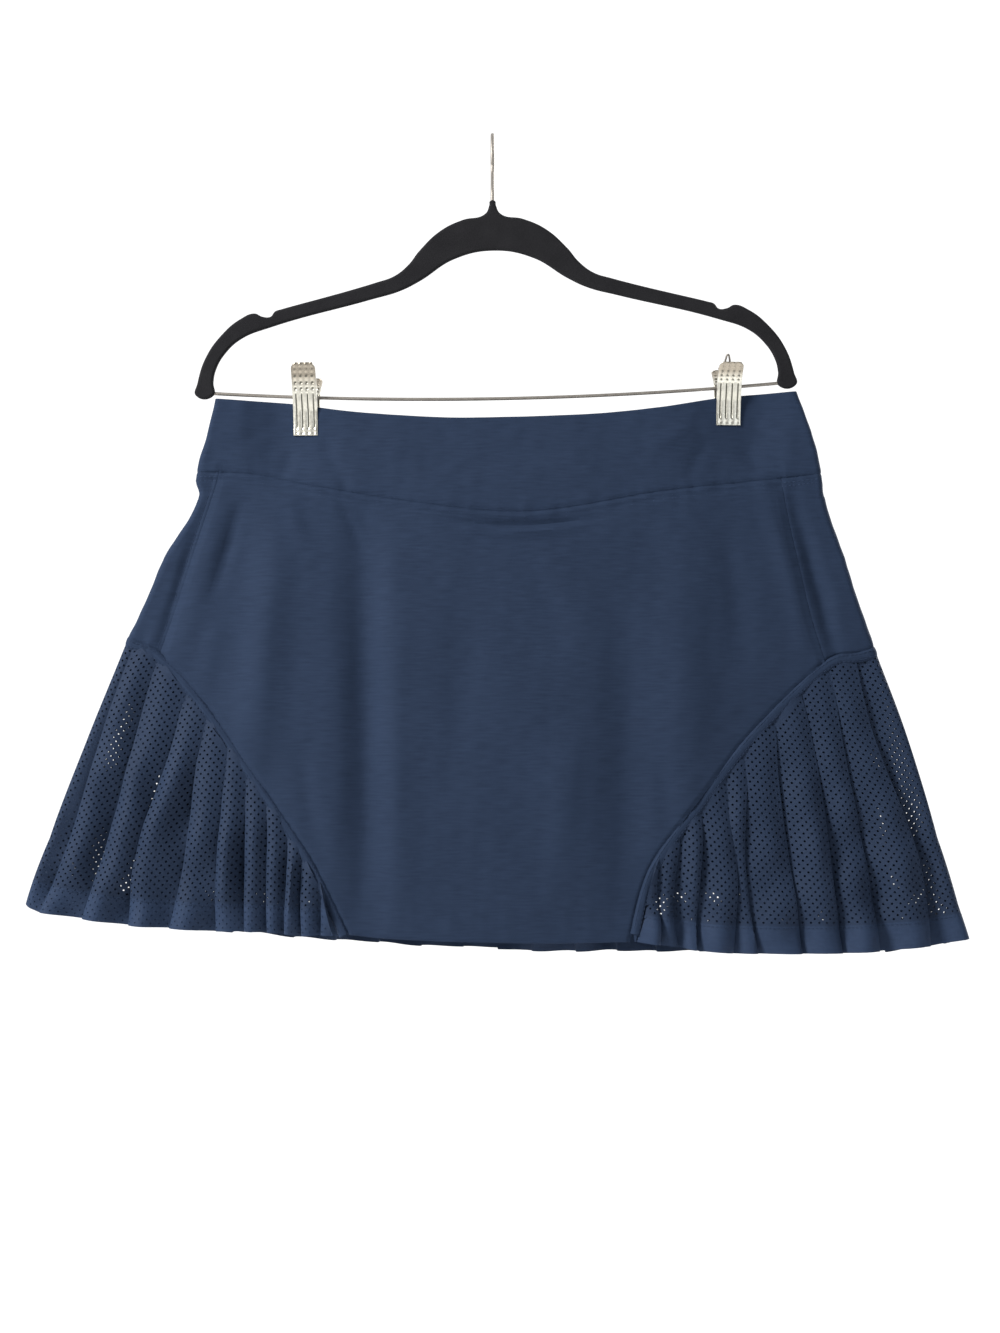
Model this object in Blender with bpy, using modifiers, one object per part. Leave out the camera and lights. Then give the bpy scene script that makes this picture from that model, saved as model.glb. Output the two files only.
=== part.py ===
"""Tennis skort on a clip hanger, at its real size.

Metres, +Z up, front towards -Y. The origin is the bearing point inside the top of the
hanger's hook. The skort hangs as a flattened tube from two clips on the hanger's bar: a
wide waistband, a front panel whose lower corners sweep in to the hem, side panels that wrap
round the side folds, knife-pleated flounces of perforated cloth, and inner shorts.

Every cloth piece is an open grid that follows one shared skin, thickened by Solidify. A
place on the skin is given by u, the distance round the tube measured from the middle of the
front or back, and by drop, the height below the waist line at the side folds.
"""

import math
from collections import namedtuple
from copy import copy

import bmesh
import bpy
import numpy as np
from mathutils import Matrix, Vector

MM = 0.001

# ---- driving sizes ------------------------------------------------------------------
HANGER_THICK = 5.6 * MM
HANGER_TILT = math.radians(1.05)  # the right end hangs a little higher
NECK_Z = -46 * MM  # top of the hanger's neck, below the hook's bearing point
BAR_DROP = 138.5 * MM  # the bar's ends below the top of the neck
BAR_SAG = 7.4 * MM
BAR_RADIUS = 1.25 * MM
BAR_HALF_LENGTH = 205 * MM  # it ends just short of the arms' tips
HOOK_WIRE = 1.4 * MM
HOOK_INSIDE = 17 * MM  # takes a closet rod of up to 32 mm

WAIST_Z = -190.5 * MM
BAND_WALL = 1.6 * MM  # the waistband is folded double
CLOTH_WALL = 1.2 * MM
MESH_WALL = 1.0 * MM
BINDING_WALL = 0.8 * MM
BINDING_WIDTH = 6.5 * MM
GAP = 0.3 * MM  # between pieces at a seam

CLIP_WIDTH = 18.6 * MM
CLIP_SHEET = 0.9 * MM
PINCHED = 2.0 * MM  # half the thickness of the waistband between a clip's jaws

FRONT, BACK = -1, 1

# The two clips, with the turn that each has taken on the bar, and how high their finger tabs
# reach above it, in millimetres.
Clip = namedtuple("Clip", "name x yaw front_tab back_tab")
CLIPS = [
    Clip("clip_left", -136.5 * MM, math.radians(-9), 24.5, 15.5),
    Clip("clip_right", 172.5 * MM, math.radians(8), 17.0, 14.0),
]

# ---- the skin: the flattened tube that every panel lies on --------------------------
# One row for each height: the drop below the waist line, where the left and right folds
# lie, how far the front and back stand off in the middle, and the side folds' radius.
Section = namedtuple("Section", "drop left right front back fold")
SECTIONS = [
    Section(-0.006, -0.2015, 0.2220, 0.0080, 0.0080, 0.0026),
    Section(0.030, -0.2100, 0.2350, 0.0100, 0.0100, 0.0034),
    Section(0.060, -0.2175, 0.2415, 0.0125, 0.0125, 0.0042),
    Section(0.075, -0.2165, 0.2440, 0.0138, 0.0138, 0.0046),
    Section(0.118, -0.2405, 0.2590, 0.0175, 0.0180, 0.0050),
    Section(0.177, -0.2680, 0.2785, 0.0215, 0.0225, 0.0055),
    Section(0.250, -0.2980, 0.3060, 0.0250, 0.0260, 0.0062),
    Section(0.323, -0.3260, 0.3275, 0.0275, 0.0290, 0.0070),
    Section(0.374, -0.3445, 0.3435, 0.0285, 0.0305, 0.0075),
    Section(0.410, -0.3520, 0.3555, 0.0290, 0.0310, 0.0078),
]

# ---- edges and seams, each a smooth line through (x, drop) --------------------------
Spot = namedtuple("Spot", "x drop")
TOP_EDGE = [
    Spot(-0.2060, 0.0012), Spot(-0.1774, 0.0032), Spot(-0.1453, 0.0055), Spot(-0.1015, 0.0114),
    Spot(-0.0380, 0.0157), Spot(0.0060, 0.0155), Spot(0.0730, 0.0130), Spot(0.1230, 0.0080),
    Spot(0.1600, 0.0020), Spot(0.1820, -0.0007), Spot(0.2230, -0.0040),
]
BAND_SEAM = [
    Spot(-0.2250, 0.0550), Spot(-0.1755, 0.0573), Spot(-0.1390, 0.0645), Spot(-0.0690, 0.0764),
    Spot(0.0058, 0.0850), Spot(0.0560, 0.0818), Spot(0.1230, 0.0700), Spot(0.2070, 0.0606),
    Spot(0.2450, 0.0560),
]
SIDE_SEAM_LEFT = [
    Spot(-0.1985, 0.0500), Spot(-0.2005, 0.0628), Spot(-0.2115, 0.0960), Spot(-0.2205, 0.1240),
    Spot(-0.2310, 0.1560), Spot(-0.2424, 0.1890), Spot(-0.2465, 0.2000),
]
SIDE_SEAM_RIGHT = [
    Spot(0.2090, 0.0500), Spot(0.2115, 0.0690), Spot(0.2165, 0.0955), Spot(0.2235, 0.1271),
    Spot(0.2310, 0.1601), Spot(0.2421, 0.1952), Spot(0.2460, 0.2080),
]
SWEEP_LEFT = [
    Spot(-0.2870, 0.1655), Spot(-0.2650, 0.1780), Spot(-0.2424, 0.1890), Spot(-0.2090, 0.2255),
    Spot(-0.1640, 0.2890), Spot(-0.1307, 0.3390), Spot(-0.1044, 0.3920), Spot(-0.0990, 0.4050),
]
SWEEP_RIGHT = [
    Spot(0.2960, 0.1795), Spot(0.2690, 0.1875), Spot(0.2421, 0.1952), Spot(0.1905, 0.2440),
    Spot(0.1497, 0.2946), Spot(0.1142, 0.3446), Spot(0.0995, 0.3960), Spot(0.0975, 0.4080),
]
BACK_SEAM = [
    Spot(-0.2870, 0.1655), Spot(-0.2650, 0.1780), Spot(-0.2350, 0.1900), Spot(-0.1950, 0.2000),
    Spot(-0.0950, 0.2150), Spot(0.0060, 0.2210), Spot(0.1070, 0.2160), Spot(0.1950, 0.2060),
    Spot(0.2421, 0.1952), Spot(0.2690, 0.1875), Spot(0.2960, 0.1795),
]
FRONT_HEM = [
    Spot(-0.1100, 0.3917), Spot(-0.0660, 0.3957), Spot(0.0280, 0.3984), Spot(0.1040, 0.3974),
]
LEFT_HEM = [
    Spot(-0.3520, 0.3690), Spot(-0.3446, 0.3723), Spot(-0.3150, 0.3810), Spot(-0.2570, 0.3869),
    Spot(-0.2130, 0.3898), Spot(-0.1400, 0.3930), Spot(-0.1000, 0.3935),
]
RIGHT_HEM = [
    Spot(0.0950, 0.3970), Spot(0.1230, 0.3993), Spot(0.1520, 0.4037), Spot(0.1830, 0.4059),
    Spot(0.2300, 0.4075), Spot(0.2690, 0.4066), Spot(0.3400, 0.4010), Spot(0.3600, 0.3945),
]
BACK_HEM = [
    Spot(-0.3520, 0.3690), Spot(-0.3446, 0.3723), Spot(-0.2570, 0.3880), Spot(-0.1840, 0.3945),
    Spot(-0.1200, 0.4005), Spot(-0.0600, 0.4050), Spot(0.0400, 0.4088), Spot(0.1810, 0.4080),
    Spot(0.2690, 0.4066), Spot(0.3400, 0.4010), Spot(0.3600, 0.3945),
]

# Each knife pleat's front fold, from the seam to the hem, nearest the side first.
Pleat = namedtuple("Pleat", "seam_x hem_x")
PLEATS_LEFT = [
    Pleat(-0.2628, -0.3322), Pleat(-0.2453, -0.3015), Pleat(-0.2256, -0.2672),
    Pleat(-0.2102, -0.2373), Pleat(-0.1971, -0.2037), Pleat(-0.1825, -0.1825),
    Pleat(-0.1657, -0.1657), Pleat(-0.1504, -0.1530), Pleat(-0.1387, -0.1402),
    Pleat(-0.1256, -0.1270),
]
PLEATS_RIGHT = [
    Pleat(0.2665, 0.3227), Pleat(0.2475, 0.2854), Pleat(0.2248, 0.2577), Pleat(0.2073, 0.2278),
    Pleat(0.1883, 0.1956), Pleat(0.1700, 0.1774), Pleat(0.1518, 0.1504), Pleat(0.1372, 0.1372),
    Pleat(0.1226, 0.1234),
]
BACK_PLEATS = 11  # on each half
BACK_OUTER = {-1: Pleat(-0.262, -0.333), 1: Pleat(0.272, 0.338)}
BACK_MIDDLE = Pleat(0.006, 0.004)
SEAM_RISE, HEM_RISE = 0.5 * MM, 4.5 * MM  # how far a pleat's fold stands out at each
PLEAT_STEP = 0.86  # the share of a pleat taken by its face; the rest is the step back out

# The front's largest soft folds: a ridge where rise is above 0, a trough where it is below.
Fold = namedtuple("Fold", "top_x top_drop low_x low_drop width rise")
FRONT_FOLDS = [
    Fold(-0.184, 0.072, -0.200, 0.150, 0.006, -0.0016),
    Fold(-0.158, 0.072, -0.176, 0.300, 0.016, 0.0034),
    Fold(-0.112, 0.066, -0.108, 0.400, 0.014, -0.0040),
    Fold(-0.076, 0.110, -0.066, 0.400, 0.013, 0.0018),
    Fold(0.010, 0.084, 0.030, 0.130, 0.030, -0.0016),
    Fold(0.092, 0.130, 0.096, 0.410, 0.018, -0.0028),
    Fold(0.138, 0.080, 0.140, 0.330, 0.018, 0.0022),
    Fold(0.190, 0.090, 0.200, 0.230, 0.010, -0.0014),
]
BACK_FOLDS = [
    Fold(-0.120, 0.070, -0.150, 0.230, 0.020, 0.0026),
    Fold(-0.040, 0.080, -0.050, 0.240, 0.018, -0.0030),
    Fold(0.060, 0.075, 0.070, 0.240, 0.020, 0.0024),
    Fold(0.150, 0.070, 0.175, 0.220, 0.018, -0.0026),
]

# ---- the inner shorts --------------------------------------------------------------
SHORTS_MIDDLE = 0.008
SHORTS_SECTIONS = [
    Section(0.055, -0.2085, 0.2330, 0.0080, 0.0080, 0.0021),
    Section(0.075, -0.2085, 0.2360, 0.0090, 0.0090, 0.0021),
    Section(0.120, -0.2240, 0.2440, 0.0110, 0.0110, 0.0023),
    Section(0.200, -0.2380, 0.2560, 0.0130, 0.0130, 0.0025),
    Section(0.350, -0.2460, 0.2620, 0.0140, 0.0140, 0.0028),
]
CROTCH_DROP = 0.250
SHORTS_HEM = 0.362
LEG_DEPTH = 10.5 * MM
LEG_SPREAD = 6 * MM  # how far each leg's inside edge moves out by its hem

MATERIALS = {
    # name: (colour, roughness, metallic)
    "navy_jersey": ((0.032, 0.047, 0.092), 0.85, 0.0),
    "navy_mesh": ((0.028, 0.040, 0.078), 0.85, 0.0),
    "black_velvet": ((0.012, 0.012, 0.014), 0.95, 0.0),
    "bright_steel": ((0.55, 0.53, 0.50), 0.25, 1.0),
}


# ---- lines and the skin -------------------------------------------------------------
def smooth(values, at):
    """Catmull-Rom through values, which stand at 0, 1, 2 and so on, read at the numbers in at."""
    values = np.asarray(values, float)
    ends = (2 * values[0] - values[1], 2 * values[-1] - values[-2])
    v = np.concatenate([ends[:1], values, ends[1:]])
    at = np.clip(np.asarray(at, float), 0, len(values) - 1)
    i = np.minimum(at.astype(int), len(values) - 2)
    t = (at - i).reshape(at.shape + (1,) * (values.ndim - 1))
    a, b, c, d = v[i], v[i + 1], v[i + 2], v[i + 3]
    return 0.5 * (
        2 * b + (c - a) * t + (2 * a - 5 * b + 4 * c - d) * t**2 + (3 * b - a - 3 * c + d) * t**3
    )


class Line:
    """A smooth line through spots, read either way: the drop at an x, or the x at a drop."""

    def __init__(self, spots):
        points = smooth(spots, np.linspace(0, len(spots) - 1, 12 * (len(spots) - 1) + 1))
        self.x, self.drop = points[:, 0], points[:, 1]

    def drop_at(self, x):
        order = np.argsort(self.x)
        return float(np.interp(x, self.x[order], self.drop[order]))

    def x_at(self, drop):
        return float(np.interp(drop, self.drop, self.x))

    def beside(self, distance):
        """The line moved aside, towards greater drops."""
        across, down = np.gradient(self.x), np.gradient(self.drop)
        length = np.hypot(across, down)
        facing = math.copysign(1, self.x[-1] - self.x[0])
        moved = copy(self)
        moved.x = self.x - facing * distance * down / length
        moved.drop = self.drop + facing * distance * across / length
        return moved

    def along(self, share):
        """(x, drop) at a share of the way along the spots."""
        at = share * (len(self.x) - 1)
        index = range(len(self.x))
        return float(np.interp(at, index, self.x)), float(np.interp(at, index, self.drop))

    def share_at_x(self, x):
        order = np.argsort(self.x)
        return float(np.interp(x, self.x[order], order)) / (len(self.x) - 1)

    def share_at_drop(self, drop):
        return float(np.interp(drop, self.drop, range(len(self.x)))) / (len(self.x) - 1)


def section_at(table, drop):
    drops = [row.drop for row in table]
    return Section(*smooth(table, np.interp(drop, drops, range(len(drops)))))


def ring(u, half, fold, front, back, face):
    """The offset across and the stand-off of a flattened ring at u, on that face. A u past
    the fold's middle carries on round to the other face."""
    side = math.copysign(1, u)
    middle = half + fold * math.pi / 2
    if abs(u) > middle:
        return ring(side * 2 * middle - u, half, fold, front, back, -face)
    turn = (abs(u) - half) / fold
    if turn > 0:
        return side * (half + fold * math.sin(turn)), face * fold * math.cos(turn)
    depth = front if face == FRONT else back
    return u, face * (fold + (depth - fold) * (1 - (u / half) ** 2) ** 1.5)


def ease(value, start, end):
    t = min(1.0, max(0.0, (value - start) / (end - start)))
    return t * t * (3 - 2 * t)


def near_clip(clip, x, drop):
    """1 between a clip's jaws, and 0 away from them."""
    return (1 - ease(drop, 0.030, 0.078)) * (1 - ease(abs(x - clip.x), 0.011, 0.050))


def pinch(x, drop):
    return max(near_clip(clip, x, drop) for clip in CLIPS)


def sway(x, drop):
    """How far the turned clips push the waist back from the middle plane."""
    return sum(math.tan(c.yaw) * (x - c.x) * near_clip(c, x, drop) for c in CLIPS)


def mid_fold(drop, side):
    """u at the middle of the left or right side fold."""
    row = section_at(SECTIONS, drop)
    half = (row.right - row.left) / 2 - row.fold
    return (row.left + row.right) / 2 + side * (half + row.fold * math.pi / 2)


def skin(u, drop, face):
    row = section_at(SECTIONS, drop)
    centre = (row.left + row.right) / 2
    half = (row.right - row.left) / 2 - row.fold
    across, off = ring(u - centre, half, row.fold, row.front, row.back, face)
    x = centre + across
    if abs(across) < half:
        off += (math.copysign(PINCHED, off) - off) * pinch(x, drop)
    return Vector((x, off + sway(x, drop), WAIST_Z - drop))


def lifted(u, drop, face, out):
    """The skin's point moved out of the tube by out, along its normal."""
    step = 0.4 * MM
    around = skin(u + step, drop, face) - skin(u - step, drop, face)
    upward = skin(u, drop - step, face) - skin(u, drop + step, face)
    normal = around.cross(upward).normalized() * -face
    return skin(u, drop, face) + normal * out


def folds_out(table, x, drop):
    """How far the soft folds in a table lift the cloth at x and drop."""
    out = 0.0
    for f in table:
        down = (drop - f.top_drop) / (f.low_drop - f.top_drop)
        if 0 < down < 1:
            line = f.top_x + (f.low_x - f.top_x) * down
            out += f.rise * math.sin(math.pi * down) ** 0.6 * math.exp(-(((x - line) / f.width) ** 2))
    return out


# ---- builders -----------------------------------------------------------------------
def material(name):
    found = bpy.data.materials.get(name)
    if found:
        return found
    colour, roughness, metallic = MATERIALS[name]
    made = bpy.data.materials.new(name)
    made.use_nodes = True
    shader = made.node_tree.nodes["Principled BSDF"]
    shader.inputs["Base Color"].default_value = (*colour, 1)
    shader.inputs["Roughness"].default_value = roughness
    shader.inputs["Metallic"].default_value = metallic
    return made


def add(name, data, material_name):
    obj = bpy.data.objects.new(name, data)
    bpy.data.collections["tennis_skort"].objects.link(obj)
    data.materials.append(material(material_name))
    return obj


def edged(values):
    """Values with one more just inside each end, so that the wall ends square to the skin."""
    first, last = values[0], values[-1]
    start, end = first + (values[1] - first) * 0.2, last + (values[-2] - last) * 0.2
    return [first, start, *values[1:-1], end, last]


def panel(name, across, up, point, wall, material_name):
    """A cloth wall: an open grid with a column for each value in across and a row for each
    in up, placed by point(a, b), thickened inwards."""
    across, up = edged(across), edged(up) if len(up) > 2 else up
    bm = bmesh.new()
    columns, rows = len(across) - 1, len(up) - 1
    bmesh.ops.create_grid(bm, x_segments=columns, y_segments=rows, size=0.5)
    for vert in bm.verts:
        a = across[round((vert.co.x + 0.5) * columns)]
        b = up[round((vert.co.y + 0.5) * rows)]
        vert.co = point(a, b)
    mesh = bpy.data.meshes.new(name)
    bm.to_mesh(mesh)
    bm.free()
    mesh.shade_smooth()
    obj = add(name, mesh, material_name)
    solidify = obj.modifiers.new("Wall", "SOLIDIFY")
    solidify.thickness = wall
    solidify.offset = -1
    solidify.use_quality_normals = True
    return obj


def between(heights, left_x, right_x):
    """A function of (a, b), both from 0 to 1, that gives the (x, drop) of a panel. heights
    are (b, line) pairs from its low edge to its top one, left_x and right_x its sides' x at
    a drop."""

    def place(a, b):
        drop = 0.2
        for _ in range(8):
            x = left_x(drop) + (right_x(drop) - left_x(drop)) * a
            drop = float(np.interp(b, [h[0] for h in heights], [h[1](x) for h in heights]))
        return x, drop

    return place


# ---- the skort ----------------------------------------------------------------------
def waistband(name, face):
    """Half the waistband, from one side fold's middle to the other's."""
    top, seam = Line(TOP_EDGE), Line(BAND_SEAM)
    jaws = [clip.x + side * 10.5 * MM for clip in CLIPS for side in (-1, 1)]
    places = [0, 1, 2, 3, 4, 5, 6, 7]  # fold's middle, round end, jaws' edges, and back out

    def point(a, b):
        drop = 0.03
        for _ in range(4):
            left, right = (mid_fold(drop, side) - side * GAP for side in (-1, 1))
            turn = section_at(SECTIONS, drop).fold * math.pi / 2
            u = float(np.interp(a, places, [left, left + turn, *jaws, right - turn, right]))
            low = seam.drop_at(u) - GAP / 2
            drop = low + (top.drop_at(u) - low) * b
        return skin(u, drop, face)

    cells = (4, 4, 1, 15, 1, 3, 4)
    across = [i + j / count for i, count in enumerate(cells) for j in range(count)] + [7]
    panel(name, across[:: -face], [0, 0.3, 0.56, 1], point, BAND_WALL, "navy_jersey")


CORNER_ROW = 0.62  # the front panel's row at which its side seams meet the sweeps


def front_place():
    """(x, drop) across the front panel."""
    hem, seam = Line(FRONT_HEM), Line(BAND_SEAM)
    corners = Line([meeting(SIDE_SEAM_LEFT, SWEEP_LEFT), meeting(SIDE_SEAM_RIGHT, SWEEP_RIGHT)])

    def edge(side_seam, sweep, side):
        side_seam, sweep = Line(side_seam), Line(sweep)
        corner = corners.drop_at(side)

        def x_at(drop):
            x = side_seam.x_at(drop) if drop < corner else sweep.x_at(drop)
            return x - side * GAP / 2

        return x_at

    heights = [
        (0, hem.drop_at),
        (CORNER_ROW, corners.drop_at),
        (1, lambda x: seam.drop_at(x) + GAP / 2),
    ]
    return between(
        heights, edge(SIDE_SEAM_LEFT, SWEEP_LEFT, -1), edge(SIDE_SEAM_RIGHT, SWEEP_RIGHT, 1)
    )


def meeting(one, other):
    """The spot that two edges share."""
    return next(spot for spot in one if spot in other)


def front_panel():
    place = front_place()

    def point(a, b):
        x, drop = place(a, b)
        return lifted(x, drop, FRONT, folds_out(FRONT_FOLDS, x, drop) * min(1, 9 * min(a, 1 - a)))

    rows = [*np.linspace(0, CORNER_ROW, 12), *np.linspace(CORNER_ROW, 1, 7)[1:]]
    panel("front_panel", np.linspace(0, 1, 21), rows, point, CLOTH_WALL, "navy_jersey")


def side_panel(name, side):
    """Wraps a side fold, from the front side seam to the back one."""
    seam, back_seam = Line(BAND_SEAM), Line(BACK_SEAM)
    edge = Line(SIDE_SEAM_LEFT if side < 0 else SIDE_SEAM_RIGHT)
    sweep = Line(SWEEP_LEFT if side < 0 else SWEEP_RIGHT)

    def point(a, b):
        drop = 0.12
        for _ in range(6):
            middle = mid_fold(drop, side)
            fold = section_at(SECTIONS, drop).fold * math.pi / 2
            start = edge.x_at(drop) + side * GAP / 2
            end = 2 * middle - start
            stops = [start, middle - side * fold, middle, middle + side * fold, end]
            u = float(np.interp(a, [0, 1, 2, 3, 4], stops))
            x = u if a < 2 else 2 * middle - u
            low = (sweep if a <= 2 else back_seam).drop_at(x) - GAP / 2
            top = seam.drop_at(x) + GAP / 2
            drop = low + (top - low) * b
        return skin(u, drop, FRONT)

    across = [0, 0.25, 0.5, 0.75, 1, 1.33, 1.67, 2, 2.33, 2.67, 3, 3.33, 3.67, 4]
    if side < 0:
        across.reverse()
    panel(name, across, np.linspace(0, 1, 7), point, CLOTH_WALL, "navy_jersey")


def back_place():
    """(x, drop) across the back panel."""
    left, right = Line(SIDE_SEAM_LEFT), Line(SIDE_SEAM_RIGHT)
    seam, low = Line(BAND_SEAM), Line(BACK_SEAM)
    return between(
        [(0, lambda x: low.drop_at(x) - GAP / 2), (1, lambda x: seam.drop_at(x) + GAP / 2)],
        lambda drop: left.x_at(drop) + GAP / 2,
        lambda drop: right.x_at(drop) - GAP / 2,
    )


def back_panel():
    place = back_place()

    def point(a, b):
        x, drop = place(a, b)
        return lifted(x, drop, BACK, folds_out(BACK_FOLDS, x, drop) * min(1, 9 * min(a, 1 - a)))

    panel("back_panel", np.linspace(1, 0, 21), np.linspace(0, 1, 7), point, CLOTH_WALL, "navy_jersey")


def pleat_stops(folds, end):
    """Columns across a run of pleats, as (seam u, hem u, rise from -1 to 1): each face falls
    back from its front fold, then steps out to the next."""
    stops = []
    for here, after in zip(folds, folds[1:] + [end]):
        for share, rise in ((0, 1), (PLEAT_STEP, -0.6)):
            stops.append(tuple(h + (n - h) * share for h, n in zip(here, after)) + (rise,))
    return stops + [tuple(end) + (0,)]


WRAP = (0.25, 0.5, 0.75, 1.0)  # columns from a piece's outermost place round a side fold


def round_fold(start_u, turn, b, side, low_line, top_line):
    """(u, drop) at a turn from 0 to 1 between start_u and the middle of a side fold."""
    drop = 0.2
    for _ in range(6):
        end = mid_fold(drop, side) - side * GAP / 2
        u = start_u + (end - start_u) * turn
        low, top = low_line.drop_at(u), top_line.drop_at(u)
        drop = low + (top - low) * b
    return u, drop


def flounce(name, stops, side, seam, hem, face):
    """A pleated flounce hung from the binding below seam, its stops from left to right. It
    carries on round the side fold to its middle."""
    top_line = seam.beside(BINDING_WIDTH + 2 * GAP)
    last = len(stops) - 1

    def point(a, b):
        stop = min(max(a, 0), last)
        seam_u, hem_u, rise = (np.interp(stop, range(last + 1), column) for column in zip(*stops))
        u = hem_u + (seam_u - hem_u) * b
        if stop == a:
            drop = hem.drop_at(hem_u) + (top_line.drop_at(seam_u) - hem.drop_at(hem_u)) * b
        else:
            u, drop = round_fold(u, abs(a - stop), b, math.copysign(1, a), hem, top_line)
        out = rise * (1 - abs(a - stop))
        out *= HEM_RISE + (SEAM_RISE - HEM_RISE) * b
        return lifted(u, drop, face, out)

    across = list(range(last + 1))
    if side < 0:
        across = [-turn for turn in reversed(WRAP)] + across
    else:
        across += [last + turn for turn in WRAP]
    panel(name, across[:: -face], [0, 0.3, 0.6, 0.85, 1], point, MESH_WALL, "navy_mesh")


def front_flounce(name, side):
    pleats = PLEATS_LEFT if side < 0 else PLEATS_RIGHT
    seam = Line(SWEEP_LEFT if side < 0 else SWEEP_RIGHT)
    hem = Line(LEFT_HEM if side < 0 else RIGHT_HEM)
    top_line = seam.beside(BINDING_WIDTH + GAP)
    inner = Pleat(*(top_line.x_at(drop) + side * 3 * GAP for drop in (0.384, 0.391)))
    stops = pleat_stops(pleats, inner)[::-side]
    flounce(name, stops, side, seam, hem, FRONT)


def back_flounce(name, side):
    """Half the back flounce, from a side fold to the middle, its pleats evenly spaced."""
    outer = BACK_OUTER[side]
    folds = [
        Pleat(*(o + (m - o) * i / BACK_PLEATS for o, m in zip(outer, BACK_MIDDLE)))
        for i in range(BACK_PLEATS)
    ]
    inner = Pleat(*(m + side * 3 * GAP for m in BACK_MIDDLE))
    stops = pleat_stops(folds, inner)[::-side]
    flounce(name, stops, side, Line(BACK_SEAM), Line(BACK_HEM), BACK)


def binding(name, seam, start, end, columns, wraps, face):
    """The narrow strip that joins a flounce to the panels above it, beside the seam line,
    from a start share of the line to an end one, and round the side folds in wraps."""
    low_line, top_line = seam.beside(BINDING_WIDTH), seam.beside(1.5 * GAP)

    def point(a, b):
        share = min(max(a, start), end)
        low, top = low_line.along(share), top_line.along(share)
        u, drop = (l + (t - l) * b for l, t in zip(low, top))
        if share != a:
            u, drop = round_fold(u, abs(a - share), b, math.copysign(1, u), low_line, top_line)
        return skin(u, drop, face)

    across = list(np.linspace(start, end, columns))
    if 0 in wraps:
        across = [start - turn for turn in reversed(WRAP)] + across
    if 1 in wraps:
        across += [end + turn for turn in WRAP]
    rightwards = face if seam.x[0] < seam.x[-1] else -face
    panel(name, across[::-rightwards], [0, 1], point, MESH_WALL, "navy_jersey")


def bindings():
    for name, spots, side in (("left", SWEEP_LEFT, -1), ("right", SWEEP_RIGHT, 1)):
        sweep = Line(spots)
        ends = fold_share(sweep, side), sweep.share_at_drop(0.3905)
        binding(f"binding_{name}", sweep, *ends, 25, (0,), FRONT)
    seam = Line(BACK_SEAM)
    binding("binding_back", seam, fold_share(seam, -1), fold_share(seam, 1), 25, (0, 1), BACK)


def fold_share(line, side):
    """The share along a line at which the round of a side fold ends."""
    drop = line.drop_at(side * 0.27)
    turn = section_at(SECTIONS, drop).fold * math.pi / 2
    return line.share_at_x(mid_fold(drop, side) - side * turn)


def shorts_half(name, side):
    """One half of the inner shorts: from the front middle seam round the outside of the leg
    to the back middle seam, closing to a tube with an inside seam below the crotch."""
    seam = Line(BAND_SEAM)
    seam_gap, leg_gap = 0.5 * GAP, 1.6 * GAP

    def point(a, b):
        top = seam.drop_at(side * 0.1) + 2 * MM
        drop = SHORTS_HEM + (top - SHORTS_HEM) * b
        row = section_at(SHORTS_SECTIONS, drop)
        outer = row.left if side < 0 else row.right
        # the whole body's ring, from the front middle to the back middle
        centre = (row.left + row.right) / 2
        half = (row.right - row.left) / 2 - row.fold
        start = SHORTS_MIDDLE + side * seam_gap - centre
        reach = side * (half + row.fold * math.pi / 2)
        u = start + (2 * reach - 2 * start) * a
        body_x, body_y = ring(u, half, row.fold, row.front, row.back, FRONT)
        body_x += centre
        # the leg's own ring, from the inside seam round to itself
        spread = LEG_SPREAD * ease(drop, CROTCH_DROP, SHORTS_HEM)
        inner = SHORTS_MIDDLE + side * (2 * MM + spread)
        centre, half = (outer + inner) / 2, abs(outer - inner) / 2 - row.fold
        reach = half + row.fold * math.pi / 2
        u = side * (-reach + leg_gap + (4 * reach - 2 * leg_gap) * a)
        leg_x, leg_y = ring(u, half, row.fold, LEG_DEPTH, LEG_DEPTH, FRONT)
        leg_x += centre
        share = ease(drop, CROTCH_DROP - 0.035, CROTCH_DROP + 0.01)
        x = body_x + (leg_x - body_x) * share
        y = body_y + (leg_y - body_y) * share
        return Vector((x, y + sway(x, drop), WAIST_Z - drop))

    turn = np.array([0, 0.40, 0.70, 1]) * 0.0075
    flat = np.linspace(0.0075, 0.4925, 6)[1:-1]
    front_half = [*turn, *flat, *(0.5 - turn[:0:-1])]
    across = front_half + [0.5] + [1 - f for f in reversed(front_half)]
    if side < 0:
        across.reverse()
    rows = [0, 0.2, 0.3, 0.38, 0.46, 0.7, 1]
    panel(name, across, rows, point, CLOTH_WALL, "navy_jersey")


# ---- the hanger ---------------------------------------------------------------------
# Half the body's outline, down from the top of the neck: the upper edge from the neck out to
# the end of the arm, then the lower edge back to the middle.
Corner = namedtuple("Corner", "x drop")
HANGER_UPPER = [
    Corner(1.9, 1.0), Corner(2.4, 3.8), Corner(5.6, 10.2), Corner(22.3, 14.4), Corner(38.5, 22.0),
    Corner(54.4, 36.5), Corner(62.5, 46.5), Corner(73, 54.6), Corner(86, 59), Corner(156, 77.4),
    Corner(161, 79), Corner(164.5, 82.8), Corner(170.5, 82.6), Corner(176, 80.2), Corner(186, 83.8),
    Corner(200, 95.0), Corner(212.5, 112), Corner(219, 131), Corner(220.3, 139.6),
]
HANGER_LOWER = [
    Corner(207.4, 140.0), Corner(207.2, 130), Corner(205.2, 121),
    Corner(198, 109), Corner(186, 98.6), Corner(166, 91.0), Corner(90, 71.4), Corner(69, 65.6),
    Corner(54.4, 58.6), Corner(29, 43.0), Corner(0, 37.2),
]


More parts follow.
